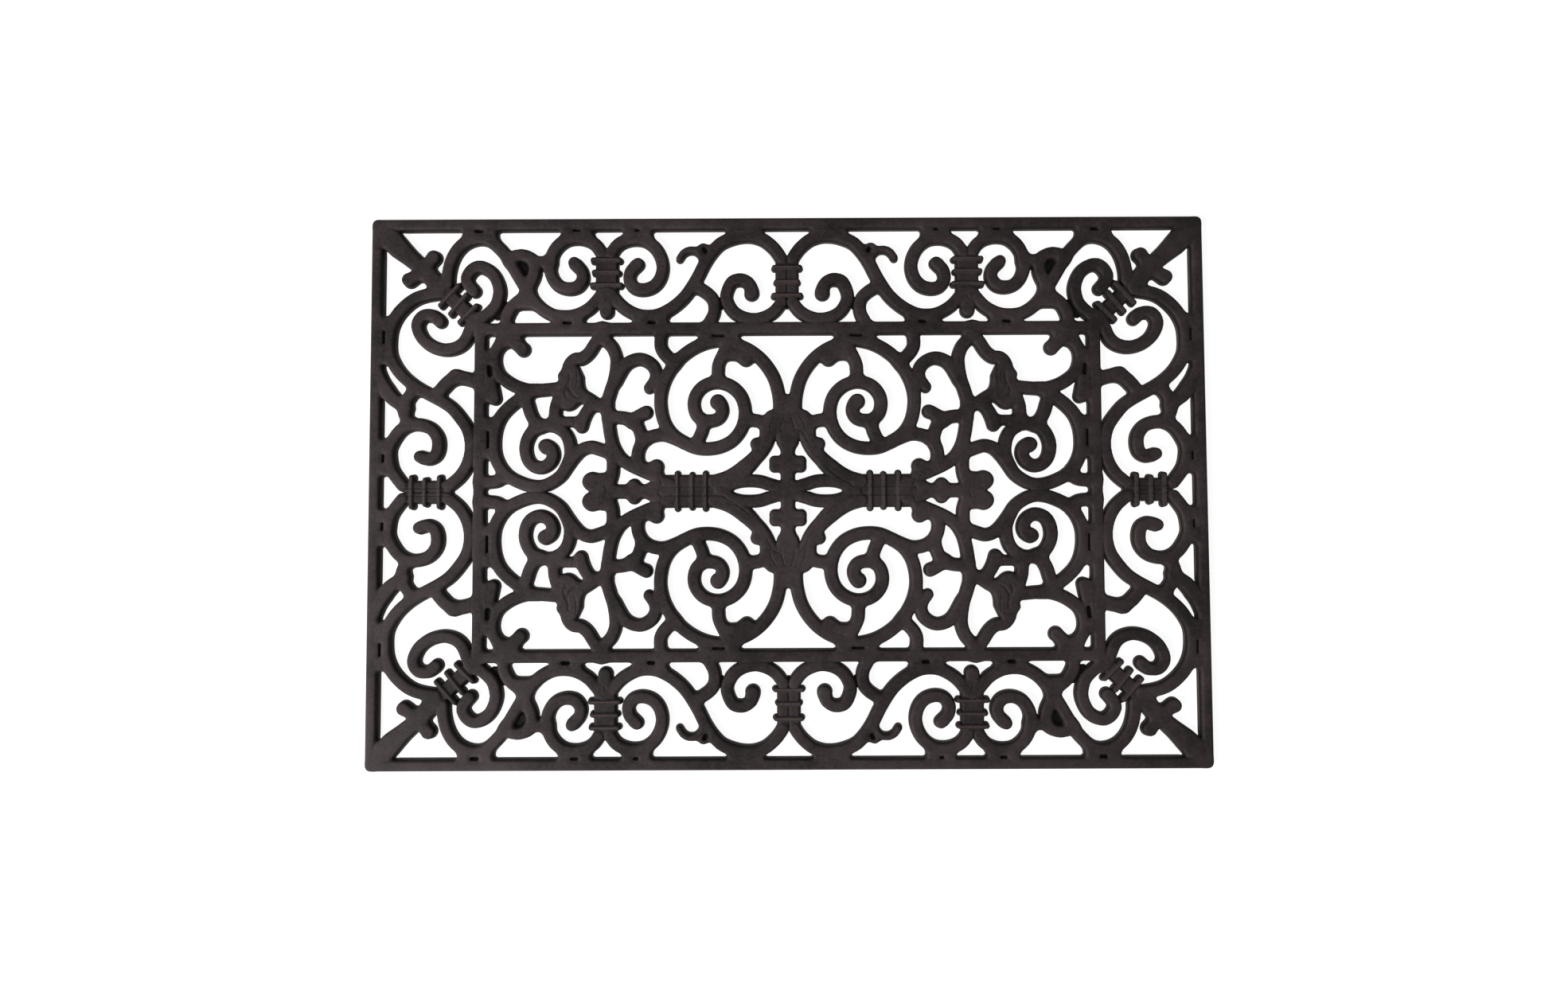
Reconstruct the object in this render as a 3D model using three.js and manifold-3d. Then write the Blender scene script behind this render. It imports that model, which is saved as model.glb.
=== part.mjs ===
// A rubber door mat: an openwork grille of flat moulded bars in an old wrought-iron scroll pattern.
// A rim of four bars holds an oblong inner frame, and scrolls, collars and leaves fill both.
// Millimetres. X runs along the mat's length, Y across it and Z up. The mat lies on z = 0, and
// the origin is the middle of its underside.
import * as THREE from 'three';
import { mergeVertices } from 'three/addons/utils/BufferGeometryUtils.js';
import Module from 'manifold-3d';

// The mat as a whole
const MAT_LENGTH = 914;
const MAT_WIDTH = 602;
const MAT_THICKNESS = 10;
const MAT_CORNER_RADIUS = 6;
const RIM_WIDTH = 12;

// The inner frame. Each border is measured from the mat's edge to the frame bar's centre line.
const FRAME_BAR_WIDTH = 12.5;
const END_BORDER = 120.2;
const LONG_BORDER = 122;

// The bars of the pattern
const BORDER_SCROLL_WIDTH = 11.6;
const PANEL_SCROLL_WIDTH = 13;
const STEM_WIDTH = 13.6;
const RIB_WIDTH = 13;
const KNOB_RADIUS = 6.6;
const LOBE_KNOB_RADIUS = 7.2;
const VOLUTE_KNOB_RADIUS = 8;
const TREFOIL_KNOB_RADIUS = 10.6;
const TENDRIL_WIDTH = 6.4;
const COLLAR_SHAFT_WIDTH = 24;
const COLLAR_RING_WIDTH = 5.6;
const COLLAR_SHAFT_THICKNESS = 8.6;
const BUNDLE_WIDTH = 35;
const SPEAR_WIDTH = 19;
const LEAF_WIDTH = 22;
const WEB_LENGTH = 38;
const WEB_THICKNESS = 4;

// Neighbouring pieces keep this gap, and each cutter runs this far past the faces that it cuts.
const CLEARANCE = 0.3;
const OVERRUN = 4;

// A curve gets a new point before its chord leaves it by more than this
const CURVE_TOLERANCE = 0.9;
const FINE_STEPS_PER_SPAN = 8;
const ROUND_END_STEPS = 4;
const KNOB_SIDES = 10;

// The drawing grid of the pattern: hundredths of half the mat's length, from the mat's centre.
// These are the grid's own places of the frame's and the rim's centre lines.
const FRAME_LINE_U_SHARE = 73.4;
const FRAME_LINE_V_SHARE = 39.6;
const RIM_LINE_U_SHARE = 98.1;
const RIM_LINE_V_SHARE = 65.1;

const rimLineX = (MAT_LENGTH - RIM_WIDTH) / 2;
const rimLineY = (MAT_WIDTH - RIM_WIDTH) / 2;
const frameLineX = MAT_LENGTH / 2 - END_BORDER;
const frameLineY = MAT_WIDTH / 2 - LONG_BORDER;

// From the drawing grid to millimetres: the panel and the border each keep their own scale.
function spread(share, frameShare, rimShare, frameLine, rimLine) {
  const size = Math.abs(share);
  const inside = (size / frameShare) * frameLine;
  const outside = frameLine + ((size - frameShare) / (rimShare - frameShare)) * (rimLine - frameLine);
  return Math.sign(share) * (size <= frameShare ? inside : outside);
}

function place([u, v]) {
  return new THREE.Vector2(
    spread(u, FRAME_LINE_U_SHARE, RIM_LINE_U_SHARE, frameLineX, rimLineX),
    spread(v, FRAME_LINE_V_SHARE, RIM_LINE_V_SHARE, frameLineY, rimLineY),
  );
}

const mirrorU = (shares) => shares.map(([u, v, ...rest]) => [-u, v, ...rest]);
const mirrorV = (shares) => shares.map(([u, v, ...rest]) => [u, -v, ...rest]);
const mirrorAbout = (axisShare, shares) => shares.map(([u, v, ...rest]) => [2 * axisShare - u, v, ...rest]);
const raised = (riseShare, shares) => shares.map(([u, v, ...rest]) => [u, v + riseShare, ...rest]);

// Outlines. Each is a function of how far it is grown, so that a neighbour's cutter is the same
// outline one clearance larger.

// The points of a smooth curve through the listed places, closer together where it bends more.
function curveSamples(shares) {
  const curve = new THREE.SplineCurve(shares.map(place));
  const spans = shares.length - 1;
  const fine = Array.from({ length: spans * FINE_STEPS_PER_SPAN + 1 }, (_, index) => {
    const t = index / (spans * FINE_STEPS_PER_SPAN);
    const span = Math.min(Math.floor(index / FINE_STEPS_PER_SPAN), spans - 1);
    const wide = (at) => shares[at][2] ?? 1;
    const widthShare = THREE.MathUtils.lerp(wide(span), wide(span + 1), t * spans - span);
    return { point: curve.getPoint(t), tangent: curve.getTangent(t), widthShare };
  });
  const kept = [fine[0]];
  fine.slice(1, -1).forEach((sample, index) => {
    const last = kept[kept.length - 1];
    const next = fine[index + 2];
    const turn = Math.acos(THREE.MathUtils.clamp(last.tangent.dot(next.tangent), -1, 1));
    const sagitta = (last.point.distanceTo(next.point) * turn) / 8;
    if (sagitta > CURVE_TOLERANCE) kept.push(sample);
  });
  return [...kept, fine[fine.length - 1]];
}

// The half circle around an end of a bar, from its right side to its left as seen from the bar.
function roundEnd(centre, outward, radius) {
  const start = outward.angle() - Math.PI / 2;
  return Array.from({ length: ROUND_END_STEPS - 1 }, (_, index) => {
    const angle = start + (Math.PI * (index + 1)) / ROUND_END_STEPS;
    return new THREE.Vector2(Math.cos(angle), Math.sin(angle)).multiplyScalar(radius).add(centre);
  });
}

// A bar along a curve. A place may carry a third value, the share of the bar's width there.
function bar(width, shares, { roundStart = false, roundFinish = false } = {}) {
  return (grown) => {
    const samples = curveSamples(shares);
    const right = [];
    const left = [];
    samples.forEach(({ point, tangent, widthShare }) => {
      const half = (width * widthShare) / 2 + grown;
      const normal = new THREE.Vector2(-tangent.y, tangent.x).multiplyScalar(half);
      right.push(point.clone().sub(normal));
      left.push(point.clone().add(normal));
    });
    const first = samples[0];
    const last = samples[samples.length - 1];
    const startHalf = (width * first.widthShare) / 2 + grown;
    const finishHalf = (width * last.widthShare) / 2 + grown;
    const finish = roundFinish ? roundEnd(last.point, last.tangent, finishHalf) : [];
    const start = roundStart ? roundEnd(first.point, first.tangent.clone().negate(), startHalf) : [];
    return new THREE.Shape([...right, ...finish, ...left.reverse(), ...start]);
  };
}

const roundBar = (width, shares) => bar(width, shares, { roundStart: true, roundFinish: true });

function knob(shares, radius = KNOB_RADIUS) {
  return (grown) => {
    const centre = place(shares);
    return new THREE.Shape(Array.from({ length: KNOB_SIDES }, (_, index) => {
      const angle = (2 * Math.PI * index) / KNOB_SIDES;
      return new THREE.Vector2(Math.cos(angle), Math.sin(angle)).multiplyScalar(radius + grown).add(centre);
    }));
  };
}

// A ring of a collar: a short round bar across the collar's shaft.
function ring(shares) {
  return roundBar(COLLAR_RING_WIDTH, shares);
}

function rectangle(x0, y0, x1, y1) {
  return (grown) => new THREE.Shape([
    new THREE.Vector2(x0 - grown, y0 - grown),
    new THREE.Vector2(x1 + grown, y0 - grown),
    new THREE.Vector2(x1 + grown, y1 + grown),
    new THREE.Vector2(x0 - grown, y1 + grown),
  ]);
}

// A long bar of the rim, with the mat's two rounded corners at its outer side.
function rimLongBar() {
  return (grown) => {
    const right = MAT_LENGTH / 2 + grown;
    const top = MAT_WIDTH / 2 + grown;
    const bottom = MAT_WIDTH / 2 - RIM_WIDTH - grown;
    const radius = Math.min(MAT_CORNER_RADIUS, RIM_WIDTH) + grown;
    const shape = new THREE.Shape();
    shape.moveTo(-right, bottom);
    shape.lineTo(right, bottom);
    shape.absarc(right - radius, top - radius, radius, 0, Math.PI / 2, false);
    shape.absarc(radius - right, top - radius, radius, Math.PI / 2, Math.PI, false);
    shape.closePath();
    return shape;
  };
}

// Solids
const wasm = await Module();
wasm.setup();

function toSolid(geometry) {
  const bare = geometry.index ? geometry : geometry.clone();
  bare.deleteAttribute('normal');
  bare.deleteAttribute('uv');
  const merged = mergeVertices(bare, 1e-4);
  return new wasm.Manifold(new wasm.Mesh({
    numProp: 3,
    vertProperties: new Float32Array(merged.attributes.position.array),
    triVerts: new Uint32Array(merged.index.array),
  }));
}

function extrude(outline, thickness) {
  const settings = { depth: thickness, bevelEnabled: false, curveSegments: 4 };
  return toSolid(new THREE.ExtrudeGeometry(outline(0), settings));
}

// The column of air that a neighbour must leave around an outline.
function cutterOf(outline) {
  const settings = { depth: MAT_THICKNESS + 2 * OVERRUN, bevelEnabled: false, curveSegments: 4 };
  const geometry = new THREE.ExtrudeGeometry(outline(CLEARANCE), settings);
  return toSolid(geometry.translate(0, 0, -OVERRUN));
}

const join = (solids) => solids.reduce((whole, solid) => whole.add(solid));

// One piece of the mat: bars at full thickness, shafts a little lower and thin webs low down.
function pieceSolid({ bars = [], shafts = [], webs = [] }) {
  return join([
    ...bars.map((outline) => extrude(outline, MAT_THICKNESS)),
    ...shafts.map((outline) => extrude(outline, COLLAR_SHAFT_THICKNESS)),
    ...webs.map((outline) => extrude(outline, WEB_THICKNESS)),
  ]);
}

function pieceCutter({ bars = [], shafts = [], webs = [] }) {
  return join([...bars, ...shafts, ...webs].map(cutterOf));
}

function touches(a, b) {
  const boxA = a.boundingBox();
  const boxB = b.boundingBox();
  return [0, 1].every((axis) => boxA.min[axis] < boxB.max[axis] && boxB.min[axis] < boxA.max[axis]);
}

function toGeometry(solid) {
  const mesh = solid.getMesh();
  const geometry = new THREE.BufferGeometry();
  geometry.setAttribute('position', new THREE.BufferAttribute(new Float32Array(mesh.vertProperties), 3));
  geometry.setIndex(new THREE.BufferAttribute(new Uint32Array(mesh.triVerts), 1));
  return geometry;
}

// The same geometry in another quarter of the mat, with its faces still pointing out.
function mirrored(geometry, signX, signY) {
  const copy = geometry.clone().scale(signX, signY, 1);
  if (signX * signY < 0) copy.index.array.reverse();
  return copy;
}

// The rim and the inner frame
const rimInnerX = MAT_LENGTH / 2 - RIM_WIDTH;
const rimInnerY = MAT_WIDTH / 2 - RIM_WIDTH;
const frameOuterX = frameLineX + FRAME_BAR_WIDTH / 2;
const frameInnerX = frameLineX - FRAME_BAR_WIDTH / 2;
const frameOuterY = frameLineY + FRAME_BAR_WIDTH / 2;
const frameInnerY = frameLineY - FRAME_BAR_WIDTH / 2;

const rimLong = { bars: [rimLongBar()] };
const rimEnd = { bars: [rectangle(rimInnerX, -rimInnerY, MAT_LENGTH / 2, rimInnerY)] };
const frameLong = { bars: [rectangle(-frameOuterX, frameInnerY, frameOuterX, frameOuterY)] };
const frameEnd = { bars: [rectangle(frameInnerX, -frameInnerY, frameOuterX, frameInnerY)] };

// The pieces on the mat's short axis and long axis, which are drawn whole

const INNER_CURL_SHARES = [
  [0.6, 47.6], [2.9, 44.2], [5, 42.5], [7.8, 41.8], [10.8, 42.4], [13.1, 44], [14.7, 46.6], [14.5, 49],
  [13.1, 51], [11, 51.5], [9.3, 50.7], [8.5, 49.2], [8.5, 48.2],
];
const INNER_CURL_KNOB_SHARE = [8.5, 48.2];

const centreCollar = {
  bars: [
    ring([[-3.3, 54.7], [3.3, 54.7]]),
    ring([[-2.6, 51.5], [2.6, 51.5]]),
    ring([[-3.4, 47.9], [3.4, 47.9]]),
    bar(BORDER_SCROLL_WIDTH, INNER_CURL_SHARES),
    bar(BORDER_SCROLL_WIDTH, mirrorU(INNER_CURL_SHARES)),
    knob(INNER_CURL_KNOB_SHARE),
    knob(mirrorU([INNER_CURL_KNOB_SHARE])[0]),
  ],
  shafts: [bar(COLLAR_SHAFT_WIDTH, [[0, 46.2], [0, 55.8]])],
};

const sideCollar = {
  bars: [
    ring([[82.7, -3.5], [82.7, 3.5]]),
    ring([[86.1, -2.75], [86.1, 2.75]]),
    ring([[89.3, -3.4], [89.3, 3.4]]),
  ],
  shafts: [bar(COLLAR_SHAFT_WIDTH, [[79.8, 0], [91.3, 0]])],
};

const CENTRE_RIB_SHARES = [[0.8, 0.7], [4, 1.9], [6.2, 2.6], [8.7, 2.75], [11.2, 2.5], [14, 1.5]];
const CENTRE_BRACE_SHARES = [
  [17.5, 2.3, 1.1], [15, 2.9, 1.2], [12.7, 3.9, 1.3], [10.2, 5.6, 1.4], [7.9, 7.9, 1.2], [6, 10.2, 1.2],
  [4.9, 12.6, 1.3], [4.3, 15, 1.6], [3.6, 17.6, 1.4],
];
const CENTRE_WEDGE_SHARES = [
  [0, 12.5, 1.9], [0, 14.5, 2.2], [0, 17.5, 2.3], [0, 20.6, 1.8], [0, 22.2, 0.6],
];
const BRACE_KNOB_SHARE = [7.4, 11.4];
const allFour = (shares) => [shares, mirrorU(shares), mirrorV(shares), mirrorU(mirrorV(shares))];

const centreCross = {
  bars: [
    bar(STEM_WIDTH, [[0, -14], [0, 14]]),
    bar(STEM_WIDTH, [[-15, 0], [-13, 0]]),
    bar(STEM_WIDTH, [[13, 0], [15, 0]]),
    roundBar(STEM_WIDTH, [[-3, 6.5], [3, 6.5]]),
    roundBar(STEM_WIDTH, [[-3, -6.5], [3, -6.5]]),
    bar(STEM_WIDTH, CENTRE_WEDGE_SHARES),
    bar(STEM_WIDTH, mirrorV(CENTRE_WEDGE_SHARES)),
    ...allFour(CENTRE_RIB_SHARES).map((shares) => bar(RIB_WIDTH, shares)),
    ...allFour(CENTRE_BRACE_SHARES).map((shares) => bar(RIB_WIDTH, shares)),
    ...allFour([BRACE_KNOB_SHARE]).map(([share]) => knob(share)),
  ],
};

// The spindle between the middle of the mat and the trefoil: a bundle in three rings, a stem with
// a cross lobe, and the trefoil at its far end.
const TREFOIL_ARM_SHARES = [[41.9, 10.4], [41.7, 7], [41.8, 4.5], [42.5, 2], [43, 0]];

const spindle = {
  bars: [
    ring([[19.6, -4.2], [19.6, 4.2]]),
    ring([[22.8, -3.9], [22.8, 3.9]]),
    ring([[26.3, -4.2], [26.3, 4.2]]),
    bar(STEM_WIDTH, [[29, 0, 2.2], [32, 0, 1.5], [34.5, 0], [47.3, 0]]),
    roundBar(STEM_WIDTH, [[37, -1.7], [37, 1.7]]),
    knob([46.9, 2.5], TREFOIL_KNOB_RADIUS),
    knob([46.9, -2.5], TREFOIL_KNOB_RADIUS),
    knob([44, 2.2], TREFOIL_KNOB_RADIUS),
    knob([44, -2.2], TREFOIL_KNOB_RADIUS),
    bar(PANEL_SCROLL_WIDTH, TREFOIL_ARM_SHARES),
    bar(PANEL_SCROLL_WIDTH, mirrorV(TREFOIL_ARM_SHARES)),
  ],
  shafts: [bar(BUNDLE_WIDTH, [[15.6, 0], [31, 0]])],
};

// The pieces of one quarter of the mat

const PALMETTE_AXIS_SHARE = 43.45;
const PALMETTE_RISE_SHARE = 0.3;
const PALMETTE_SCROLL_SHARES = [
  [42.4, 56.2], [41.2, 59.4], [39.3, 61], [36.8, 61.6], [34, 61.2], [31.7, 59.5], [30.3, 57],
  [29.9, 54.3], [30.6, 51.7], [32.2, 49.9], [34.5, 49.2], [36.6, 49.7], [37.8, 51.4], [37.6, 53.3],
  [36.6, 54.7], [35.8, 55.4],
];
const PALMETTE_KNOB_SHARE = [35.8, 55.4];

const otherPalmetteScroll = (shares) => (
  raised(PALMETTE_RISE_SHARE, mirrorAbout(PALMETTE_AXIS_SHARE, shares))
);

const palmette = {
  bars: [
    bar(BORDER_SCROLL_WIDTH, PALMETTE_SCROLL_SHARES),
    bar(BORDER_SCROLL_WIDTH, otherPalmetteScroll(PALMETTE_SCROLL_SHARES)),
    knob(PALMETTE_KNOB_SHARE),
    knob(otherPalmetteScroll([PALMETTE_KNOB_SHARE])[0]),
    ring([[40.2, 56.8], [46.3, 56.8]]),
    ring([[40.4, 53.6], [46.1, 53.6]]),
    ring([[39.9, 50.3], [46.6, 50.3]]),
  ],
  shafts: [roundBar(COLLAR_SHAFT_WIDTH, [[43.3, 44.2, 0.76], [43.3, 49, 0.9], [43.3, 57, 0.9]])],
  webs: [
    bar(WEB_LENGTH, [[35.8, 61.4, 0.84], [35.8, 64.6, 0.84]]),
    bar(WEB_LENGTH, [[50.4, 61.7, 0.94], [50.4, 64.6, 0.94]]),
  ],
};

const cornerCollar = {
  bars: [
    bar(SPEAR_WIDTH, [[97, 63.8, 1.1], [93, 59.4], [88, 54.3, 0.95], [85, 51.2], [82.5, 49]]),
    bar(PANEL_SCROLL_WIDTH, [[87, 54.2], [84.7, 57.2]]),
    bar(PANEL_SCROLL_WIDTH, [[88, 53.2], [90.6, 51.4]]),
    knob([84.7, 57.2], LOBE_KNOB_RADIUS),
    knob([90.6, 51.4], LOBE_KNOB_RADIUS),
    ring([[79.4, 50.2], [83.6, 45.5]]),
    ring([[77.5, 48.2], [81.1, 43.3]]),
    ring([[75.3, 45.4], [78.9, 41.7]]),
  ],
  shafts: [bar(COLLAR_SHAFT_WIDTH, [[82.8, 49.4, 0.75], [75.6, 41.8, 0.75]])],
};

const UPPER_CURL_SHARES = [
  [75, 42], [72.2, 43], [70, 45.2], [69.2, 47.5], [69.1, 49.5], [69.8, 51.7], [71, 53.5],
  [72.8, 54.7], [74.5, 54.8], [76, 53.7], [76.6, 52], [76.1, 50.4], [75.4, 49.7],
];
const LOWER_CURL_SHARES = [
  [74.4, 42.2], [75.6, 40.3], [76.9, 37.2], [78.4, 35.6], [80.5, 34.8], [82.7, 34.8], [85.1, 35.6],
  [87.1, 37.2], [88.3, 39.5], [88.3, 41.4], [87.1, 42.9], [85.3, 43.1], [84, 42.4], [83.2, 41.6],
];

const cornerCurls = {
  bars: [
    bar(BORDER_SCROLL_WIDTH, UPPER_CURL_SHARES),
    knob([75.4, 49.7]),
    bar(BORDER_SCROLL_WIDTH, LOWER_CURL_SHARES),
    knob([83.2, 41.6]),
    bar(BORDER_SCROLL_WIDTH, [[76.4, 52], [78.4, 50.6]]),
  ],
};

const CORNER_ARC_SHARES = [
  [81.1, 50.3], [81.3, 53.2], [80.7, 56], [79.6, 58.4], [78, 60.3], [75.9, 61.5], [73.5, 61.9],
  [71.3, 61.3], [69.2, 59.5], [67.4, 57.3], [65.6, 54.3], [63.9, 51.4], [62.3, 48.8],
];
const CORNER_BRANCH_SHARES = [
  [61.9, 48.7], [64, 46.8], [65.7, 45.3], [66.8, 43.5], [67.3, 41.8], [67.3, 39.4],
];
const LINK_ARC_SHARES = [
  [44.2, 49], [45.9, 46.3], [47.8, 44.4], [50.4, 43.1], [53.2, 42.7], [56.1, 43.1], [58.6, 44.4],
  [60.5, 46.2], [62.1, 48.5], [63, 50.2],
];
const LINK_LEG_SHARES = [[61.5, 57.4], [60.7, 55.2], [61.4, 52.8], [62.6, 50]];

const longScroll = {
  bars: [
    bar(BORDER_SCROLL_WIDTH, CORNER_ARC_SHARES),
    bar(BORDER_SCROLL_WIDTH, CORNER_BRANCH_SHARES),
    bar(BORDER_SCROLL_WIDTH, LINK_ARC_SHARES),
    bar(BORDER_SCROLL_WIDTH, LINK_LEG_SHARES),
    roundBar(BORDER_SCROLL_WIDTH, [[62.6, 57.8, 1.1], [64.6, 57.4, 1.1]]),
    bar(BORDER_SCROLL_WIDTH, [[56.4, 56.2, 1.15], [58.5, 55.9, 1.35], [61, 56.2, 1.2]]),
    bar(BORDER_SCROLL_WIDTH, [[60.8, 46], [63.6, 46]]),
  ],
  webs: [
    bar(WEB_LENGTH, [[73.8, 61.6, 1.02], [73.8, 64.6, 1.02]]),
    bar(WEB_LENGTH, [[52.5, 40, 0.96], [52.5, 43, 0.96]]),
    bar(WEB_LENGTH, [[63.6, 57, 0.4], [63.4, 51, 0.4]]),
    bar(WEB_LENGTH, [[66.8, 44.3, 0.5], [70.4, 44.3, 0.5]]),
  ],
};

const ARCH_SHARES = [
  [1.1, 55], [1.9, 57.2], [3.4, 59.5], [5.5, 61.2], [8, 62.1], [10.5, 62.2], [13, 61.7],
  [15.8, 60.5], [17.9, 58.4], [19.7, 55.7], [21.3, 52.5], [22.8, 49.9], [24.4, 47.6], [26.2, 45.8],
  [28.4, 44.2], [31, 43], [33.5, 42.7], [36, 43.1], [38.6, 44.4], [40.5, 46.2], [42.2, 48.9],
];
const ARCH_BRANCH_SHARES = [
  [22.2, 50.2], [19.3, 48.4], [17.8, 46.7], [17.4, 44.8], [17.7, 43], [18.6, 41.2], [19.5, 39.4],
];
const TENDRIL_SHARES = [
  [18.2, 58.8, 1.7], [20.8, 59.4, 1.5], [22.5, 59.1, 1.1], [24, 58.7], [25.3, 58.1], [26.3, 57.3],
];

const archScroll = {
  bars: [
    bar(BORDER_SCROLL_WIDTH, ARCH_SHARES),
    bar(BORDER_SCROLL_WIDTH, ARCH_BRANCH_SHARES),
    bar(TENDRIL_WIDTH, TENDRIL_SHARES, { roundFinish: true }),
    knob([20.6, 59.6]),
  ],
  webs: [
    bar(WEB_LENGTH, [[10.1, 62, 1.06], [10.1, 64.8, 1.06]]),
    bar(WEB_LENGTH, [[32.7, 40, 1.02], [32.7, 43, 1.02]]),
    bar(WEB_LENGTH, [[15.6, 45.8, 0.4], [17.4, 45.8, 0.4]]),
  ],
};

const SIDE_ARC_SHARES = [
  [82.4, 48.3], [86.7, 48], [89.3, 47], [91.6, 45.2], [93.5, 42.9], [94.8, 40], [95.2, 36.8],
  [95, 33.6], [93.9, 31], [92.3, 28.7], [90.2, 26.7], [87.9, 25.1], [85.2, 23.6], [82.7, 22.2], [80.2, 20.4],
  [78, 17.8], [76.4, 15.3], [75.6, 12.5], [75.6, 9.4], [76.4, 6.5], [77.9, 4], [79.9, 2.1], [80.6, 1.7],
];
const FRAME_LEAF_SHARES = [
  [73, 26.7, 1.3], [77, 28, 1.3], [79.5, 28.2, 1.3], [81.5, 27.3, 1.3], [83, 25.5, 1.2], [84.4, 22.8],
];
const SIDE_CURL_SHARES = [
  [90.3, 1], [92.7, 3.3], [94.2, 5.5], [94.8, 8], [94.8, 10.6], [93.6, 13.2], [91.9, 15.3], [89.6, 16.4],
  [87.2, 16.3], [85, 15.3], [83.5, 13.3], [83.2, 11], [83.8, 9], [85.3, 8.1], [86.8, 8.3], [87.5, 8.6],
];
const SIDE_NECK_SHARES = [[90.2, 15.6], [91.5, 19.3], [91.2, 21.5], [90, 23.3], [88, 26]];
const RIM_LEAF_SHARES = [[97.4, 26.6, 1.5], [96, 24.6, 1.4], [94.3, 22.4, 1.2], [92.3, 21.4], [90.6, 20]];

const sideScroll = {
  bars: [bar(BORDER_SCROLL_WIDTH, SIDE_ARC_SHARES), bar(BORDER_SCROLL_WIDTH, FRAME_LEAF_SHARES)],
  webs: [bar(WEB_LENGTH, [[94.8, 36.9, 1.4], [97.8, 36.9, 1.4]])],
};

const sideCurl = {
  bars: [
    bar(BORDER_SCROLL_WIDTH, SIDE_CURL_SHARES),
    knob([87.5, 8.6]),
    bar(BORDER_SCROLL_WIDTH, SIDE_NECK_SHARES),
    bar(BORDER_SCROLL_WIDTH, RIM_LEAF_SHARES),
  ],
  webs: [bar(WEB_LENGTH, [[94.6, 8.5, 1.06], [97.8, 8.5, 1.06]])],
};

const VOLUTE_SHARES = [
  [1.9, 19.6], [1.9, 21.6], [2.2, 24], [3, 27], [4.4, 29.7], [6.4, 32.2], [8.9, 34.2], [11.8, 35.6],
  [14.5, 36.7], [17.5, 36.6], [20.5, 35.8], [23.5, 34.2], [26.3, 31.8], [28.3, 29], [29.7, 26],
  [30.4, 22.5], [30.1, 19], [29.2, 16.2], [27.5, 13.8], [25, 12], [22, 10.6], [19, 10.3], [16, 10.8],
  [13.2, 12.3], [11.2, 14.8], [10.2, 17.8], [10.3, 20.8], [11.3, 23.4], [13.3, 25.4], [15.8, 26.4],
  [18.3, 26.3], [20.5, 25.2], [22, 23.2], [22.4, 21], [21.8, 18.7], [20.2, 17.3], [18.2, 17.1],
  [16.5, 17.7], [15.6, 19.2], [15.8, 20.8], [16.7, 21.7],
];
const VOLUTE_TAIL_SHARES = [
  [25.5, 12.2], [29, 13.6], [31.5, 13.6], [33.7, 12.7], [35.2, 11], [35.8, 8.7], [35.3, 6.5], [33.5, 5.4],
  [31.6, 5.8],
];

const volute = {
  bars: [
    bar(PANEL_SCROLL_WIDTH, VOLUTE_SHARES),
    knob([16.7, 21.7]),
    bar(PANEL_SCROLL_WIDTH, VOLUTE_TAIL_SHARES),
    knob([31.4, 5.7]),
    bar(PANEL_SCROLL_WIDTH, [[14, 36], [16.2, 31.6], [16.6, 29.5], [16.6, 27]]),
    bar(PANEL_SCROLL_WIDTH, [[19.9, 17], [20.5, 14.5], [21.6, 12]]),
    bar(PANEL_SCROLL_WIDTH, [[8.4, 33.4], [10, 32.6], [12.2, 33.3], [15, 33.4]]),
    knob([9.9, 32.2]),
    bar(PANEL_SCROLL_WIDTH, [[2.6, 16.4], [5.3, 17], [7.4, 17.5], [10.2, 17.4]]),
    bar(PANEL_SCROLL_WIDTH, [[29.9, 40], [30.4, 36.3], [30, 34.5], [28.8, 32.9], [26.8, 31]]),
  ],
  webs: [bar(WEB_LENGTH, [[16.3, 36.7, 1.2], [16.3, 39.4, 1.2]])],
};

const VINE_SHARES = [
  [44.3, 40], [43.4, 37], [41.9, 35], [41, 32.5], [41, 30], [41.5, 27], [42.3, 24.5], [43.1, 21.5],
  [43, 19], [42.7, 16], [42.2, 13], [41.4, 10.5], [39.8, 8], [37.5, 6.4], [35, 5.2], [32, 3.9], [30.8, 3.4],
];
const VINE_ARCH_SHARES = [
  [30.4, 24.6], [31.3, 28.3], [32.2, 30.5], [34, 31.9], [35.8, 32.2], [37.8, 31.5], [39.3, 30], [41, 26.9],
];
const VINE_HOOK_SHARES = [[43, 18.2], [40, 18], [38, 17.6], [36.5, 16.7], [35.6, 15.2], [34.6, 12]];

const vine = {
  bars: [
    bar(PANEL_SCROLL_WIDTH, VINE_SHARES),
    bar(PANEL_SCROLL_WIDTH, VINE_ARCH_SHARES),
    bar(PANEL_SCROLL_WIDTH, [[31.2, 27.4], [33, 25.2]]),
    knob([33, 25.2]),
    bar(PANEL_SCROLL_WIDTH, VINE_HOOK_SHARES),
    bar(PANEL_SCROLL_WIDTH, [[37.4, 16.8], [35.6, 18.3], [33.8, 19.1]]),
    knob([33.8, 19.3]),
  ],
};

const LEAF_SHARES = [
  [44.6, 39, 0.6], [46.5, 36.4, 0.62], [48.4, 34.1, 0.75], [50.5, 32.2, 0.8], [51.8, 30, 0.72],
  [52, 27.5, 1.15], [52.1, 25, 1.45], [52.4, 22.6, 1.3], [52.6, 20, 0.9],
];
const LEAF_TOP_SCROLL_SHARES = [
  [52.5, 25.4], [57, 24.9], [61, 24.7], [64, 25.3], [66.7, 26.6], [69, 28.6], [70, 31.3],
  [69.8, 34], [68.4, 36], [66.3, 36.7], [64.8, 35.9], [63.5, 34.9],
];
const LEAF_TENDON_SHARES = [[43, 20.3], [45.5, 21.2], [48, 22.8], [51, 24.4]];
const LEAF_FINGER_SHARES = [[45.8, 21.5], [48.6, 19.8], [49.4, 17.8], [49.4, 16]];

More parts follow.
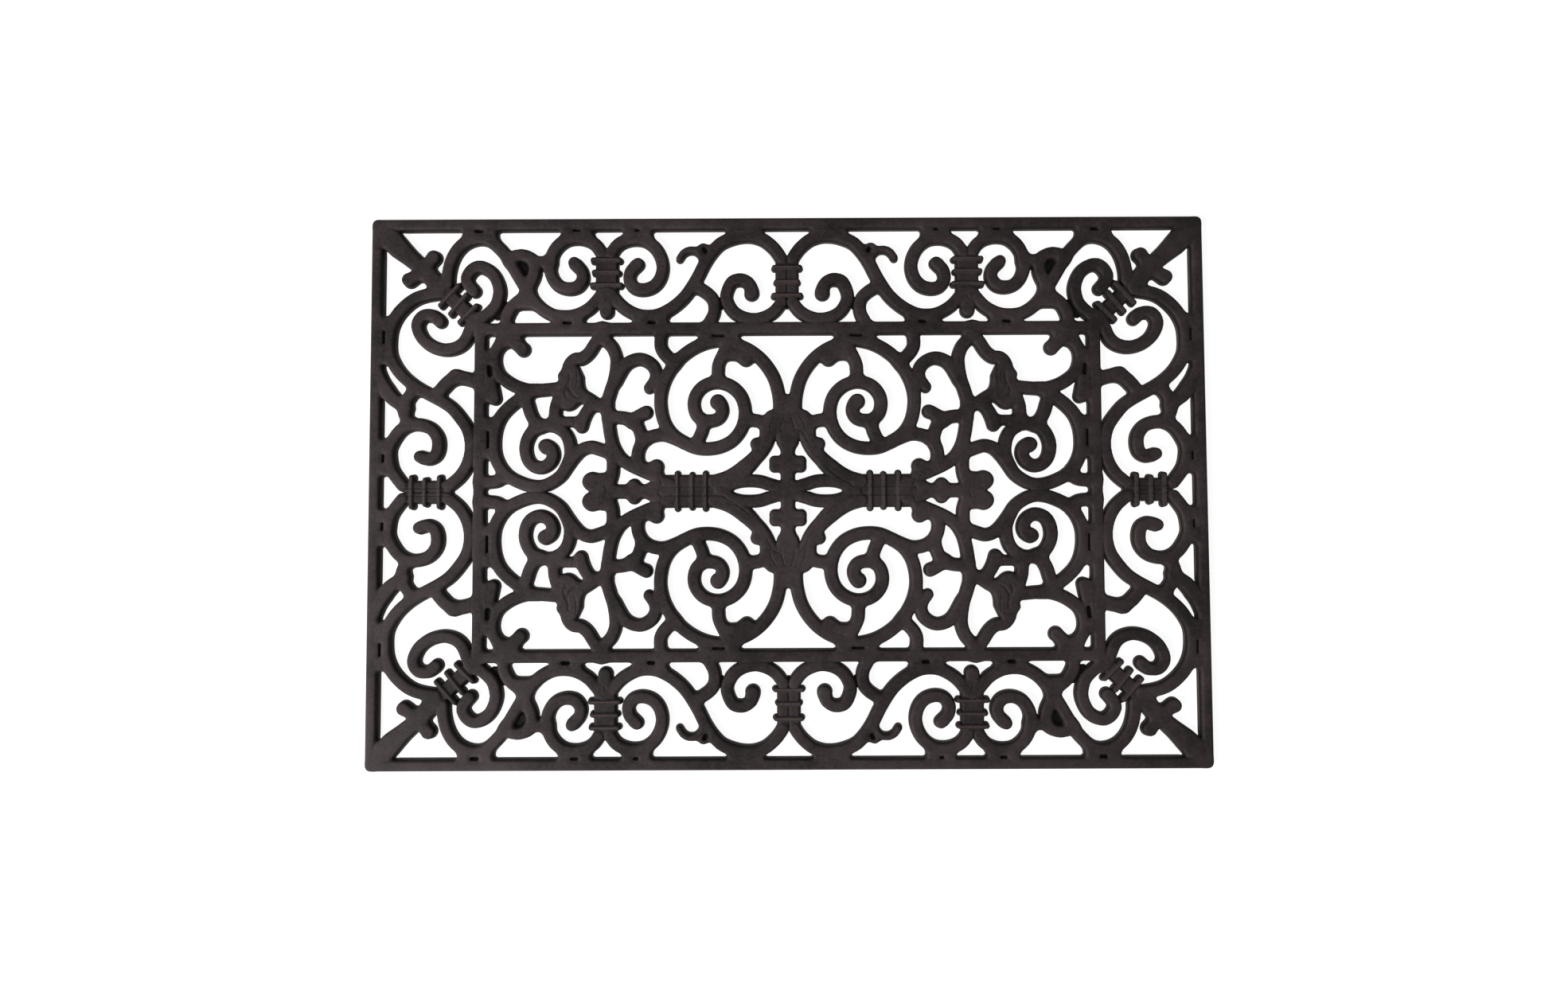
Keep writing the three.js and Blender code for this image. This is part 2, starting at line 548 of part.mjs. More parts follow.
const leaf = {
  bars: [
    bar(LEAF_WIDTH, LEAF_SHARES),
    bar(PANEL_SCROLL_WIDTH, LEAF_TOP_SCROLL_SHARES),
    knob([63.4, 34.7], LOBE_KNOB_RADIUS),
    bar(PANEL_SCROLL_WIDTH, LEAF_TENDON_SHARES),
    bar(PANEL_SCROLL_WIDTH, LEAF_FINGER_SHARES, { roundFinish: true }),
    bar(PANEL_SCROLL_WIDTH, [[71, 28.4], [71, 24.5], [71, 22.4]], { roundFinish: true }),
  ],
  webs: [
    bar(WEB_LENGTH, [[70, 31.5, 0.7], [73, 31.5, 0.7]]),
    bar(WEB_LENGTH, [[66.6, 36.6, 0.78], [66.6, 39.4, 0.78]]),
  ],
};

const SIDE_VOLUTE_RING_SHARES = [
  [60.4, 24.8], [64.1, 22.5], [66.7, 20.4], [68.6, 18.1], [69.7, 15.3], [70.1, 12], [69.8, 8.9],
  [68.6, 6.1], [66.8, 3.9], [64.4, 2.3], [61.6, 1.3], [59, 1.1], [56.5, 1.9], [54.2, 3.8], [52.6, 6.1],
  [51, 8.3], [49.2, 10.1], [47.2, 10.8], [45.3, 10.4], [42.4, 9.3],
];
const SIDE_VOLUTE_SPIRAL_SHARES = [
  [52.5, 6.4], [51.6, 9], [51.8, 12], [53, 14.4], [55, 15.9], [57.4, 16.4], [59.9, 15.6], [61.7, 13.5],
  [62.5, 10.9], [62.1, 8], [60.7, 6.1], [58.5, 5.6], [56.4, 6.6], [55.6, 8.6], [56, 10.4], [57.6, 11.3],
];

const sideVolute = {
  bars: [
    bar(PANEL_SCROLL_WIDTH, SIDE_VOLUTE_RING_SHARES),
    bar(PANEL_SCROLL_WIDTH, SIDE_VOLUTE_SPIRAL_SHARES),
    knob([57.7, 11], VOLUTE_KNOB_RADIUS),
    bar(PANEL_SCROLL_WIDTH, [[50.4, 16.2], [54.4, 16.6]]),
    bar(PANEL_SCROLL_WIDTH, [[67.2, 4.2], [69, 2.8], [71, 2.4], [73.6, 2.4]]),
    bar(PANEL_SCROLL_WIDTH, [[63, 24], [62, 21], [61.4, 19], [60.5, 17.3], [59, 15.6]]),
    bar(PANEL_SCROLL_WIDTH, [[54, 24.5], [55.2, 21], [55.5, 19], [55.6, 16]]),
  ],
  webs: [bar(WEB_LENGTH, [[70, 13, 1.2], [73, 13, 1.2]])],
};

// Assembly. The pieces are listed from the ones that run through to the ones that end on them:
// each is cut back from every earlier piece by the clearance.
const COPIES_ACROSS = [['back', 1, 1], ['front', 1, -1]];
const COPIES_ALONG = [['right', 1, 1], ['left', -1, 1]];
const COPIES_IN_QUARTERS = [
  ['back_right', 1, 1], ['back_left', -1, 1], ['front_right', 1, -1], ['front_left', -1, -1],
];
const PIECES = [
  ['rim', rimLong, COPIES_ACROSS],
  ['rim', rimEnd, COPIES_ALONG],
  ['inner_frame', frameLong, COPIES_ACROSS],
  ['inner_frame', frameEnd, COPIES_ALONG],
  ['centre_cross', centreCross, [['', 1, 1]]],
  ['spindle', spindle, COPIES_ALONG],
  ['centre_collar', centreCollar, COPIES_ACROSS],
  ['side_collar', sideCollar, COPIES_ALONG],
  ['corner_collar', cornerCollar, COPIES_IN_QUARTERS],
  ['palmette', palmette, COPIES_IN_QUARTERS],
  ['arch_scroll', archScroll, COPIES_IN_QUARTERS],
  ['long_scroll', longScroll, COPIES_IN_QUARTERS],
  ['corner_curls', cornerCurls, COPIES_IN_QUARTERS],
  ['side_scroll', sideScroll, COPIES_IN_QUARTERS],
  ['side_curl', sideCurl, COPIES_IN_QUARTERS],
  ['volute', volute, COPIES_IN_QUARTERS],
  ['vine', vine, COPIES_IN_QUARTERS],
  ['leaf', leaf, COPIES_IN_QUARTERS],
  ['side_volute', sideVolute, COPIES_IN_QUARTERS],
];

const rubber = new THREE.MeshStandardMaterial({ color: 0x2a2624, roughness: 0.62, metalness: 0 });

// A piece of one quarter stays on its own side of both of the mat's axes.
const beyondAxes = join([
  rectangle(-MAT_LENGTH, -MAT_WIDTH, MAT_LENGTH, -CLEARANCE / 2),
  rectangle(-MAT_LENGTH, -MAT_WIDTH, -CLEARANCE / 2, MAT_WIDTH),
].map((outline) => cutterOf(outline)));

const doorMat = new THREE.Group();
doorMat.name = 'door_mat';
const earlierCutters = [];
for (const [name, piece, copies] of PIECES) {
  let solid = pieceSolid(piece);
  if (copies === COPIES_IN_QUARTERS) solid = solid.subtract(beyondAxes);
  for (const cutter of earlierCutters) {
    if (touches(solid, cutter)) solid = solid.subtract(cutter);
  }
  earlierCutters.push(pieceCutter(piece));
  const geometry = toGeometry(solid);
  for (const [side, signX, signY] of copies) {
    const mesh = new THREE.Mesh(mirrored(geometry, signX, signY), rubber.clone());
    mesh.name = side ? `${name}_${side}` : name;
    doorMat.add(mesh);
  }
}

export default doorMat;
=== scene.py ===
"""An openwork rubber door mat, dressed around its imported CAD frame.

The mat is one relief. Strokes of the ironwork pattern (bars, collar shafts, rings, webs, slots and
creases) are laid on a fine grid as signed distances, neighbouring strokes are blended so that their
joints have moulded fillets, and each member of the pattern is cut out of the one relief as a piece
of its own, which meets its neighbours without a gap.
"""
from __future__ import annotations

import logging
from dataclasses import dataclass, field, replace
from enum import Enum

import bpy
import numpy as np
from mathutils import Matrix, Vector

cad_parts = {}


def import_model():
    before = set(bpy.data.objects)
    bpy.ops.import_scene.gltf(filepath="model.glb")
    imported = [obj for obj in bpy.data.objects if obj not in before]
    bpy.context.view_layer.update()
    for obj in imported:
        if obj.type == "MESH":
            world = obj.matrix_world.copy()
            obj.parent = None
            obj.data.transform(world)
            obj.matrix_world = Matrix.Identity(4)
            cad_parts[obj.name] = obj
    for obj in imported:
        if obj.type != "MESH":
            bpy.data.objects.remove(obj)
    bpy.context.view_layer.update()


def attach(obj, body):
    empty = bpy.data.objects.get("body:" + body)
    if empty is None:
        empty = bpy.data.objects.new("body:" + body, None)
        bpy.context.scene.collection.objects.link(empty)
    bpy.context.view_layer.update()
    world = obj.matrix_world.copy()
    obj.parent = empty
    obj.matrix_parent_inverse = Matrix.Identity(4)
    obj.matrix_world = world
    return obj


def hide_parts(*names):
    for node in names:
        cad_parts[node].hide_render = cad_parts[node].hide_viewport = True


LOG = logging.getLogger("door_mat")

Numbers = tuple[float, ...]
Tree = bpy.types.NodeTree
Socket = bpy.types.NodeSocket
MM = 0.001

# The mat's own sizes in millimetres, as in the CAD source
MAT_LENGTH = 914.0
MAT_WIDTH = 602.0
RIM_WIDTH = 12.0
END_BORDER = 120.2
LONG_BORDER = 122.0

# The widths in millimetres of strokes that several members share, with the moulded shoulders
BORDER_SCROLL_WIDTH = 13.3
PANEL_SCROLL_WIDTH = 13.4
STEM_WIDTH = 14.4
COLLAR_WIDTH = 24.4
SHAFT_WIDTH = 12.4
RING_WIDTH = 6.2
WEB_LENGTH = 38.0
KNOB_WIDTH = 13.2
LOBE_WIDTH = 15.4
VOLUTE_KNOB_WIDTH = 16.0
SLOT_WIDTH = 3.2
NARROW_SLOT_WIDTH = 2.2
PIT_WIDTH = 5.6
CREASE_WIDTH = 2.4

# The drawing grid counts in hundredths of half the mat's length. These are its places of the
# corners of the frame's and the rim's centre lines, and the way from there to a bar's edge groove
FRAME_CORNER = (73.4, 39.6)
RIM_CORNER = (98.1, 65.1)
EDGE_WAY = 1.4

# The relief's grid and its margin, how far a stroke's distance is followed, and the fillets, all in
# millimetres. The rest are the spline's steps, the least share of a cell's side, the label of a
# place outside the mat, and a number that keeps a division from nought
CELL = 1.0
MARGIN = 3.0
REACH = 12.0
FILLET = 5.0
LEAST_FILLET = 0.001
STEPS_PER_SPAN = 6
LEAST_SHARE = 0.03
OUTSIDE = -1
TINY = 1e-6

# The sockets of a node that mixes two colours: the share, the first, the last, and the result
SHARE, FIRST, LAST, MIXED = 0, 6, 7, 2


class Layer(Enum):
    """What a stroke does to the relief."""

    BAR = "bar"
    SHAFT = "shaft"
    WEB = "web"
    RING = "ring"
    SLOT = "slot"
    CREASE = "crease"


SOLID_LAYERS = (Layer.BAR, Layer.SHAFT, Layer.WEB, Layer.RING)


class Copies(Enum):
    """Where a member's copies lie: the name's ending and the sign of its side of each axis."""

    WHOLE = (("", 0, 0),)
    ACROSS = (("_back", 0, 1), ("_front", 0, -1))
    ALONG = (("_right", 1, 0), ("_left", -1, 0))
    QUARTERS = (
        ("_back_right", 1, 1), ("_back_left", -1, 1),
        ("_front_right", 1, -1), ("_front_left", -1, -1),
    )


def spread(value: np.ndarray, lines: Numbers, ways: Numbers) -> np.ndarray:
    """Takes one coordinate from the drawing grid to millimetres.

    The panel, up to the frame's line, and the border, up to the rim's, keep their own even scales.

    Args:
        value: the coordinate on the drawing grid.
        lines: the frame's and the rim's centre line on the grid.
        ways: the same two in millimetres.

    Returns:
        The coordinate in millimetres.
    """
    size = np.abs(value)
    border = ways[0] + (size - lines[0]) / (lines[1] - lines[0]) * (ways[1] - ways[0])
    return np.sign(value) * np.where(size <= lines[0], size / lines[0] * ways[0], border)


def to_mm(places: np.ndarray) -> np.ndarray:
    """Takes places on the drawing grid to millimetres from the mat's centre.

    Args:
        places: the places, one row each.

    Returns:
        The x and y of each, one row each.
    """
    frame = MAT_LENGTH / 2 - END_BORDER, MAT_WIDTH / 2 - LONG_BORDER
    rim = (MAT_LENGTH - RIM_WIDTH) / 2, (MAT_WIDTH - RIM_WIDTH) / 2
    return np.column_stack([
        spread(places[:, k], (FRAME_CORNER[k], RIM_CORNER[k]), (frame[k], rim[k])) for k in (0, 1)
    ])


def smooth_min(a: np.ndarray, b: np.ndarray, reach: float | np.ndarray) -> np.ndarray:
    """The lower of two distances, blended where they are within reach of each other.

    The blend takes off h * h * reach / 4, where h falls from 1 to 0 as they differ by up to reach.

    Args:
        a: the first distance.
        b: the second distance.
        reach: the difference at which the blend ends.

    Returns:
        The blended distance.
    """
    h = np.clip(reach - np.abs(a - b), 0, None) / reach
    return np.minimum(a, b) - h * h * reach / 4


def blend_in(distance: np.ndarray, fresh: np.ndarray) -> np.ndarray:
    """Adds a stroke to a field of distances, with a moulded fillet where it crosses the rest.

    The blend's reach is the full one times the sine of the angle between the two outlines, which
    is the size of the cross product of their slopes, so bars side by side keep their own edges.

    Args:
        distance: the field so far.
        fresh: the stroke's own distance.

    Returns:
        The blended field.
    """
    slope_y, slope_x = np.gradient(distance, CELL)
    fresh_y, fresh_x = np.gradient(fresh, CELL)
    reach = np.maximum(FILLET * np.abs(slope_x * fresh_y - slope_y * fresh_x), LEAST_FILLET)
    return smooth_min(distance, fresh, reach)


def smooth_step(value: np.ndarray) -> np.ndarray:
    """A soft step from 0 to 1 over values from 0 to 1: 3 v v - 2 v v v."""
    v = np.clip(value, 0, 1)
    return v * v * (3 - 2 * v)


def window_of(axis: np.ndarray, low: float, high: float) -> slice:
    """The slice of an even axis that covers a range."""
    first, last = np.searchsorted(axis, (low, high))
    return slice(int(max(first - 1, 0)), int(min(last + 1, len(axis))))


@dataclass(frozen=True)
class Stroke:
    """One stroke of the pattern: a smooth curve through listed places.

    A place's third value is the share of the stroke's width there. A flat stroke is a straight one
    that ends square. A single place is a round knob.
    """

    layer: Layer
    width: float
    places: tuple[Numbers, ...]
    flat: bool = False

    def path(self) -> tuple[np.ndarray, np.ndarray]:
        """Samples the curve, a uniform Catmull-Rom spline through the places.

        Returns:
            The points in millimetres, one row each, and the half width at each.
        """
        rows = [tuple(place) + (1.0,) * (3 - len(place)) for place in self.places]
        table = np.array(rows if len(rows) > 1 else rows * 2, dtype=float)
        points, halves = to_mm(table), table[:, 2] * self.width / 2
        if len(points) < 3:
            return points, halves
        spans = len(points) - 1
        at = np.linspace(0, spans, spans * STEPS_PER_SPAN + 1)
        span = np.minimum(at.astype(int), spans - 1)
        t = (at - span)[:, None]
        p0, p1 = points[np.maximum(span - 1, 0)], points[span]
        p2, p3 = points[span + 1], points[np.minimum(span + 2, spans)]
        v0, v1 = (p2 - p0) / 2, (p3 - p1) / 2
        cubic, square = 2 * p1 - 2 * p2 + v0 + v1, -3 * p1 + 3 * p2 - 2 * v0 - v1
        curve = cubic * t**3 + square * t**2 + v0 * t + p1
        return curve, np.interp(at, np.arange(spans + 1), halves)

    def lay(self, target: np.ndarray, xs: np.ndarray, ys: np.ndarray) -> tuple[slice, slice]:
        """Writes the signed distance to the outline into a grid, within reach of the stroke.

        Args:
            target: the grid of distances, rows along y, which keeps the lower value.
            xs: the grid's x in millimetres.
            ys: the grid's y in millimetres.

        Returns:
            The window of rows and of columns that the stroke can have changed.
        """
        points, halves = self.path()
        reach = halves.max() + REACH
        low, high = points.min(axis=0) - reach, points.max(axis=0) + reach
        window = rows, columns = window_of(ys, low[1], high[1]), window_of(xs, low[0], high[0])
        if self.flat:
            block = self.oblong(points, halves[0], xs[columns][None, :], ys[rows][:, None])
            target[window] = np.minimum(target[window], block)
            return window
        for a, b, r0, r1 in zip(points[:-1], points[1:], halves[:-1], halves[1:]):
            pad = max(r0, r1) + REACH
            rows = window_of(ys, min(a[1], b[1]) - pad, max(a[1], b[1]) + pad)
            columns = window_of(xs, min(a[0], b[0]) - pad, max(a[0], b[0]) + pad)
            x, y = xs[columns][None, :] - a[0], ys[rows][:, None] - a[1]
            along = b - a
            t = np.clip((x * along[0] + y * along[1]) / max(float(along @ along), TINY), 0, 1)
            block = np.hypot(x - t * along[0], y - t * along[1]) - (r0 + (r1 - r0) * t)
            target[rows, columns] = np.minimum(target[rows, columns], block)
        return window

    @staticmethod
    def oblong(points: np.ndarray, half: float, x: np.ndarray, y: np.ndarray) -> np.ndarray:
        """The signed distance to an upright or turned oblong around a straight centre line.

        Args:
            points: the centre line's two ends.
            half: the half width.
            x: the grid's x.
            y: the grid's y.

        Returns:
            The distance, negative inside.
        """
        along = points[1] - points[0]
        length = float(np.hypot(*along))
        ux, uy = along / length
        cx, cy = points.mean(axis=0)
        p = np.abs((x - cx) * ux + (y - cy) * uy) - length / 2
        q = np.abs((y - cy) * ux - (x - cx) * uy) - half
        return np.hypot(np.maximum(p, 0), np.maximum(q, 0)) + np.minimum(np.maximum(p, q), 0)


def bar(width: float, *places: Numbers) -> Stroke:
    """A bar at full height with rounded shoulders."""
    return Stroke(Layer.BAR, width, places)


def knob(place: Numbers, width: float = KNOB_WIDTH) -> Stroke:
    """A round knob at full height."""
    return Stroke(Layer.BAR, width, (place,))


def shaft(width: float, *places: Numbers) -> Stroke:
    """A collar's shaft with square ends, a little lower than the bars."""
    return Stroke(Layer.SHAFT, width, places, flat=True)


def ring(*places: Numbers) -> Stroke:
    """A ring of a collar, which stands proud of the shaft."""
    return Stroke(Layer.RING, RING_WIDTH, places)


def web(share: float, *places: Numbers) -> Stroke:
    """A low web, whose length is a share of the usual one."""
    return Stroke(Layer.WEB, WEB_LENGTH * share, places, flat=True)


def plate(share: float, *places: Numbers) -> Stroke:
    """A web at full height, where a scroll's crest runs into the rim or the frame."""
    return Stroke(Layer.BAR, WEB_LENGTH * share, places, flat=True)


def slot(*places: Numbers, width: float = SLOT_WIDTH) -> Stroke:
    """A blind slot or pit sunk into a bar or a plate."""
    return Stroke(Layer.SLOT, width, places)


def crease(*places: Numbers, width: float = CREASE_WIDTH) -> Stroke:
    """A shallow crease, such as a leaf's vein."""
    return Stroke(Layer.CREASE, width, places)


@dataclass(frozen=True)
class Heights:
    """The heights of the relief in millimetres above the mat's underside."""

    bar_top: float = 9.9
    bar_shoulder: float = 2.8
    crown: float = 0.7
    crown_reach: float = 6.0
    shaft_top: float = 8.2
    web_top: float = 4.4
    web_shoulder: float = 1.0
    ring_top: float = 10.0
    slot_floor: float = 4.8
    slot_side: float = 1.9
    dish_depth: float = 0.7
    dish_reach: float = 5.0
    crease_depth: float = 0.8
    least: float = 4.0
    fall: float = 1.5
    blend: float = 0.9

    def rounded(self, distance: np.ndarray, top: float, shoulder: float) -> np.ndarray:
        """A flat top with quarter-round shoulders, which falls away outside its outline.

        The drop is r - sqrt(r r - (r - depth) (r - depth)) for a depth from 0 to r inside.

        Args:
            distance: the signed distance to the outline.
            top: the height of the flat top.
            shoulder: the shoulder's radius r.

        Returns:
            The height.
        """
        depth = np.clip(-distance, 0, shoulder)
        drop = shoulder - np.sqrt(shoulder**2 - (shoulder - depth) ** 2)
        return top - drop - self.fall * np.maximum(distance, 0)

    def of(self, layers: dict[Layer, np.ndarray]) -> np.ndarray:
        """The relief's height from the distances of all the layers.

        The bars have a slight crown, the highest layer wins with a small blend, then creases and
        slots are sunk. Around each slot the top is a little dished.

        Args:
            layers: the distances, by layer.

        Returns:
            The height in millimetres.
        """
        bars = self.rounded(layers[Layer.BAR], self.bar_top, self.bar_shoulder)
        bars -= self.crown * (1 - np.clip(-layers[Layer.BAR] / self.crown_reach, 0, 1)) ** 2
        shafts = self.rounded(layers[Layer.SHAFT], self.shaft_top, self.bar_shoulder)
        webs = self.rounded(layers[Layer.WEB], self.web_top, self.web_shoulder)
        rings = self.rounded(layers[Layer.RING], self.ring_top, RING_WIDTH / 2)
        height = -smooth_min(-bars, -shafts, self.blend)
        height = -smooth_min(-height, -webs, self.blend)
        height = np.maximum(height, rings)
        sunk = smooth_step(-layers[Layer.CREASE] / (CREASE_WIDTH / 2))
        height = height - self.crease_depth * sunk
        height = height - self.dish_depth * smooth_step(1 - layers[Layer.SLOT] / self.dish_reach)
        hole = smooth_step(0.5 - layers[Layer.SLOT] / self.slot_side)
        height = np.maximum(height, self.least)
        return height + (self.slot_floor - height) * hole


@dataclass
class Member:
    """A member of the pattern: its strokes, in one quarter of the mat, and where its copies lie."""

    name: str = "member"
    copies: Copies = Copies.QUARTERS
    width: float = BORDER_SCROLL_WIDTH

    def strokes(self) -> tuple[Stroke, ...]:
        """The member's strokes, in the order in which they are laid."""
        raise NotImplementedError

    def bar(self, *places: Numbers) -> Stroke:
        """A bar of the member's own width."""
        return bar(self.width, *places)

    def curl(self, end: float, *places: Numbers) -> tuple[Stroke, Stroke]:
        """A bar of the member's own width, and a knob of the width given at its last place."""
        return self.bar(*places), knob(places[-1], end)

    def build(self, relief: Relief, rubber: MouldedRubber) -> None:
        """Cuts each copy of the member out of the relief, dresses it and reports it.

        Args:
            relief: the whole mat's relief.
            rubber: the finish.
        """
        for ending, _, _ in self.copies.value:
            node = self.name + ending
            piece = relief.cut(node)
            piece.data.materials.append(rubber.material())
            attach(piece, "root")
            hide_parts(node)
            LOG.info("%s: %d faces", piece.name, len(piece.data.polygons))


@dataclass
class EdgeBar(Member):
    """A straight bar of the rim or the inner frame, with the soft grooves at its edges."""

    copies: Copies = Copies.ACROSS
    corner: Numbers = FRAME_CORNER
    grooves: Numbers = (-EDGE_WAY, EDGE_WAY)
    stop: float = 2.0
    groove: float = 1.8

    def strokes(self) -> tuple[Stroke, ...]:
        """One bar along the centre line to the corner, and the grooves, which stop short of it.

        Returns:
            The strokes, in the order in which they are laid.
        """
        across = self.copies is Copies.ACROSS
        length, line = self.corner if across else self.corner[::-1]
        runs = [((0, line), (length, line))]
        runs += [((0, line + way), (length - self.stop, line + way)) for way in self.grooves]
        if not across:
            runs = [tuple((u, v) for v, u in run) for run in runs]
        return self.bar(*runs[0]), *(crease(*run, width=self.groove) for run in runs[1:])


@dataclass
class CentreCross(Member):
    """The cross in the middle of the panel, with its ribs, braces and buds."""

    name: str = "centre_cross"
    copies: Copies = Copies.WHOLE
    width: float = STEM_WIDTH
    rib: float = 13.0
    lobe: float = 0.7 * STEM_WIDTH

    def strokes(self) -> tuple[Stroke, ...]:
        """Half of each stem, the cross lobe, the wedge, a rib, a brace with its bud, and creases.

        Returns:
            The strokes, in the order in which they are laid.
        """
        return (
            self.bar((0, 0), (0, 14)),
            self.bar((14.9, 0), (16, 0)),
            bar(self.lobe, (0, 7.3), (3.2, 7.3)),
            bar(self.lobe, (0, 5.7), (3.2, 5.7)),
            self.bar((0, 12.5, 1.7), (0, 14.5, 1.9), (0, 17.5, 2), (0, 20.6, 1.6), (0, 22.2, 0.6)),
            bar(self.rib, (0.8, 0.5), (4.4, 1.6), (6.6, 2.3), (9.1, 2.5), (11.6, 2.3), (14.2, 1.5)),
            bar(
                self.rib, (17.5, 2.3, 1.1), (15, 2.9, 1.2), (12.7, 3.9, 1.3), (10.2, 5.6, 1.4),
                (7.9, 7.9, 1.2), (6, 10.2, 1.2), (4.9, 12.6, 1.3), (4.3, 15, 1.6), (3.6, 17.6, 1.4),
            ),
            knob((7.4, 11.4)),
            crease((1.5, 14.3), (1.4, 16), (0.8, 17.9)),
            crease((4.8, 12), (3.5, 14.2), (1.7, 15)),
            crease((2.9, 17.9), (4, 16), (4.2, 14.4)),
            crease((10.6, 4.4), (12.4, 3.4), (14.4, 2.9)),
        )


@dataclass
class Spindle(Member):
    """The spindle beside the centre: a fluted bundle in three rings, a stem and a trefoil."""

    name: str = "spindle"
    copies: Copies = Copies.ALONG
    width: float = PANEL_SCROLL_WIDTH
    bundle: float = 35.0
    stem: float = STEM_WIDTH
    trefoil: float = 20.6

    def strokes(self) -> tuple[Stroke, ...]:
        """The bundle, its rings and flutes, the stem with its lobe, and the trefoil.

        Returns:
            The strokes, in the order in which they are laid.
        """
        return (
            shaft(self.bundle, (15.6, 0), (31, 0)),
            ring((19.6, -4.2), (19.6, 4.2)),
            ring((22.8, -3.9), (22.8, 3.9)),
            ring((26.3, -4.2), (26.3, 4.2)),
            bar(self.stem, (29, 0, 2.2), (32, 0, 1.5), (34.5, 0), (45.4, 0)),
            bar(self.stem, (36.7, -1.4), (36.7, 1.4)),
            knob((46.7, 2.4), self.trefoil),
            knob((44, 2.2), self.trefoil),
            self.bar((41.9, 10.4), (41.7, 7), (41.8, 4.5), (42.5, 2), (43, 0)),
            crease((15.2, 1.05), (30, 1.05)),
            crease((30.3, 2.8), (29.9, 1.7), (30.6, 0.7), (30.7, 0)),
            crease((15.2, 1.05), (14.5, 1.9), (12, 3.2), (9.3, 5.5)),
            crease((43.5, 1.5), (43.1, 0.5), (43.1, 0)),
        )


@dataclass
class CentreCollar(Member):
    """The three-ring collar of a long border, and the two curls that spring from its foot."""

    name: str = "centre_collar"
    copies: Copies = Copies.ACROSS

    def strokes(self) -> tuple[Stroke, ...]:
        """Half the shaft, its foot, the three rings, and one curl.

        Returns:
            The strokes, in the order in which they are laid.
        """
        return (
            shaft(SHAFT_WIDTH, (1.3, 46.4), (1.3, 56.4)),
            web(0.3, (0, 44.6), (0, 46.8)),
            crease((0, 47), (0, 44.8)),
            ring((0, 54.3), (3, 54.3)),
            ring((0, 50.8), (2.5, 50.8)),
            ring((0, 47.5), (3.15, 47.5)),
            *self.curl(
                LOBE_WIDTH, (1.3, 46), (2.9, 43.9), (5, 42.5), (7.8, 41.8), (10.8, 42.4),
                (13.1, 44), (14.5, 46.6), (14.3, 48.9), (13.1, 51), (11, 51.5), (9.3, 50.7),
                (8.5, 49.2), (8.5, 48.2),
            ),
        )


@dataclass
class SideCollar(Member):
    """The three-ring collar of an end border."""

    name: str = "side_collar"
    copies: Copies = Copies.ALONG

    def strokes(self) -> tuple[Stroke, ...]:
        """Half the shaft, the three rings, and the crease between the shaft's halves.

        Returns:
            The strokes, in the order in which they are laid.
        """
        return (
            shaft(SHAFT_WIDTH, (79.8, 1.3), (91.3, 1.3)),
            ring((82.7, 0), (82.7, 3.5)),
            ring((86.1, 0), (86.1, 2.9)),
            ring((89.3, 0), (89.3, 3.5)),
            crease((79.5, 0.9), (91.5, 0.9)),
        )


@dataclass
class CornerCollar(Member):
    """The slanted collar of a corner, with the spear point that reaches the rim."""

    name: str = "corner_collar"
    width: float = PANEL_SCROLL_WIDTH
    neck: float = 0.66 * COLLAR_WIDTH
    spear: float = 19.0

    def strokes(self) -> tuple[Stroke, ...]:
        """The shaft, its web and rings, the spear and its two side lobes.

        Returns:
            The strokes, in the order in which they are laid.
        """
        return (
            shaft(self.neck, (82.6, 49.4), (75, 41.9)),
            web(0.42, (80.6, 47.6), (75.9, 43.1)),
            ring((78.7, 50.1), (82.9, 45.4)),
            ring((76.8, 47.9), (80.5, 43.3)),
            ring((74.4, 45.2), (78.3, 41.3)),
            bar(
                self.spear, (97.5, 64.3, 0.6), (95, 61.6, 1.3), (93.5, 60, 1.24), (91, 57.7, 1.03),
                (88.5, 55.5, 0.92), (86.5, 53.6), (84.3, 51, 1.05), (83.4, 50.1),
            ),
            self.bar((87, 54.2), (84.8, 57.2)),
            self.bar((88, 53.2), (90.6, 51.7)),
            knob((84.8, 57.2), LOBE_WIDTH),
            knob((90.6, 51.7), LOBE_WIDTH),
        )


@dataclass
class Palmette(Member):
    """A mirrored pair of scrolls that rise from a three-ring collar to the rim."""

    name: str = "palmette"
    stem: float = 15.4
    axis: float = 43.45
    rise: float = 0.3

    def strokes(self) -> tuple[Stroke, ...]:
        """Both scrolls, the stem and shaft, the rings, and the plates to the rim with their slots.

        Returns:
            The strokes, in the order in which they are laid.
        """
        scroll = (
            (42.2, 58), (41, 59.8), (39.3, 61), (36.8, 61.6), (34, 61.2), (31.7, 59.5), (30.3, 57),
            (29.9, 54.3), (30.6, 51.7), (32.2, 49.9), (34.5, 49.2), (36.6, 49.7), (37.8, 51.4),
            (37.6, 53.3), (36.6, 54.7), (35.8, 55.4),
        )
        other = tuple((2 * self.axis - u, v + self.rise) for u, v in scroll)
        return (
            self.bar(*scroll),
            self.bar(*other),
            knob(scroll[-1]),
            knob(other[-1]),
            bar(self.stem, (43.3, 43.9), (43.3, 48.2)),
            shaft(COLLAR_WIDTH, (43.3, 48), (43.3, 58)),
            ring((40.2, 56.3), (46.5, 56.3)),
            ring((40.5, 53.3), (46.2, 53.3)),
            ring((40, 50.2), (46.7, 50.2)),
            crease((42.9, 47.6), (43.3, 46.6)),
            crease((43.4, 60), (43.4, 57.6)),
            plate(0.84, (35.8, 61.4), (35.8, 64.6)),
            plate(0.94, (50.4, 61.7), (50.4, 64.6)),
            slot((35.6, 63.5), (36.2, 63.5), width=NARROW_SLOT_WIDTH),
            slot((49.8, 63.5), (51, 63.5), width=NARROW_SLOT_WIDTH),
        )


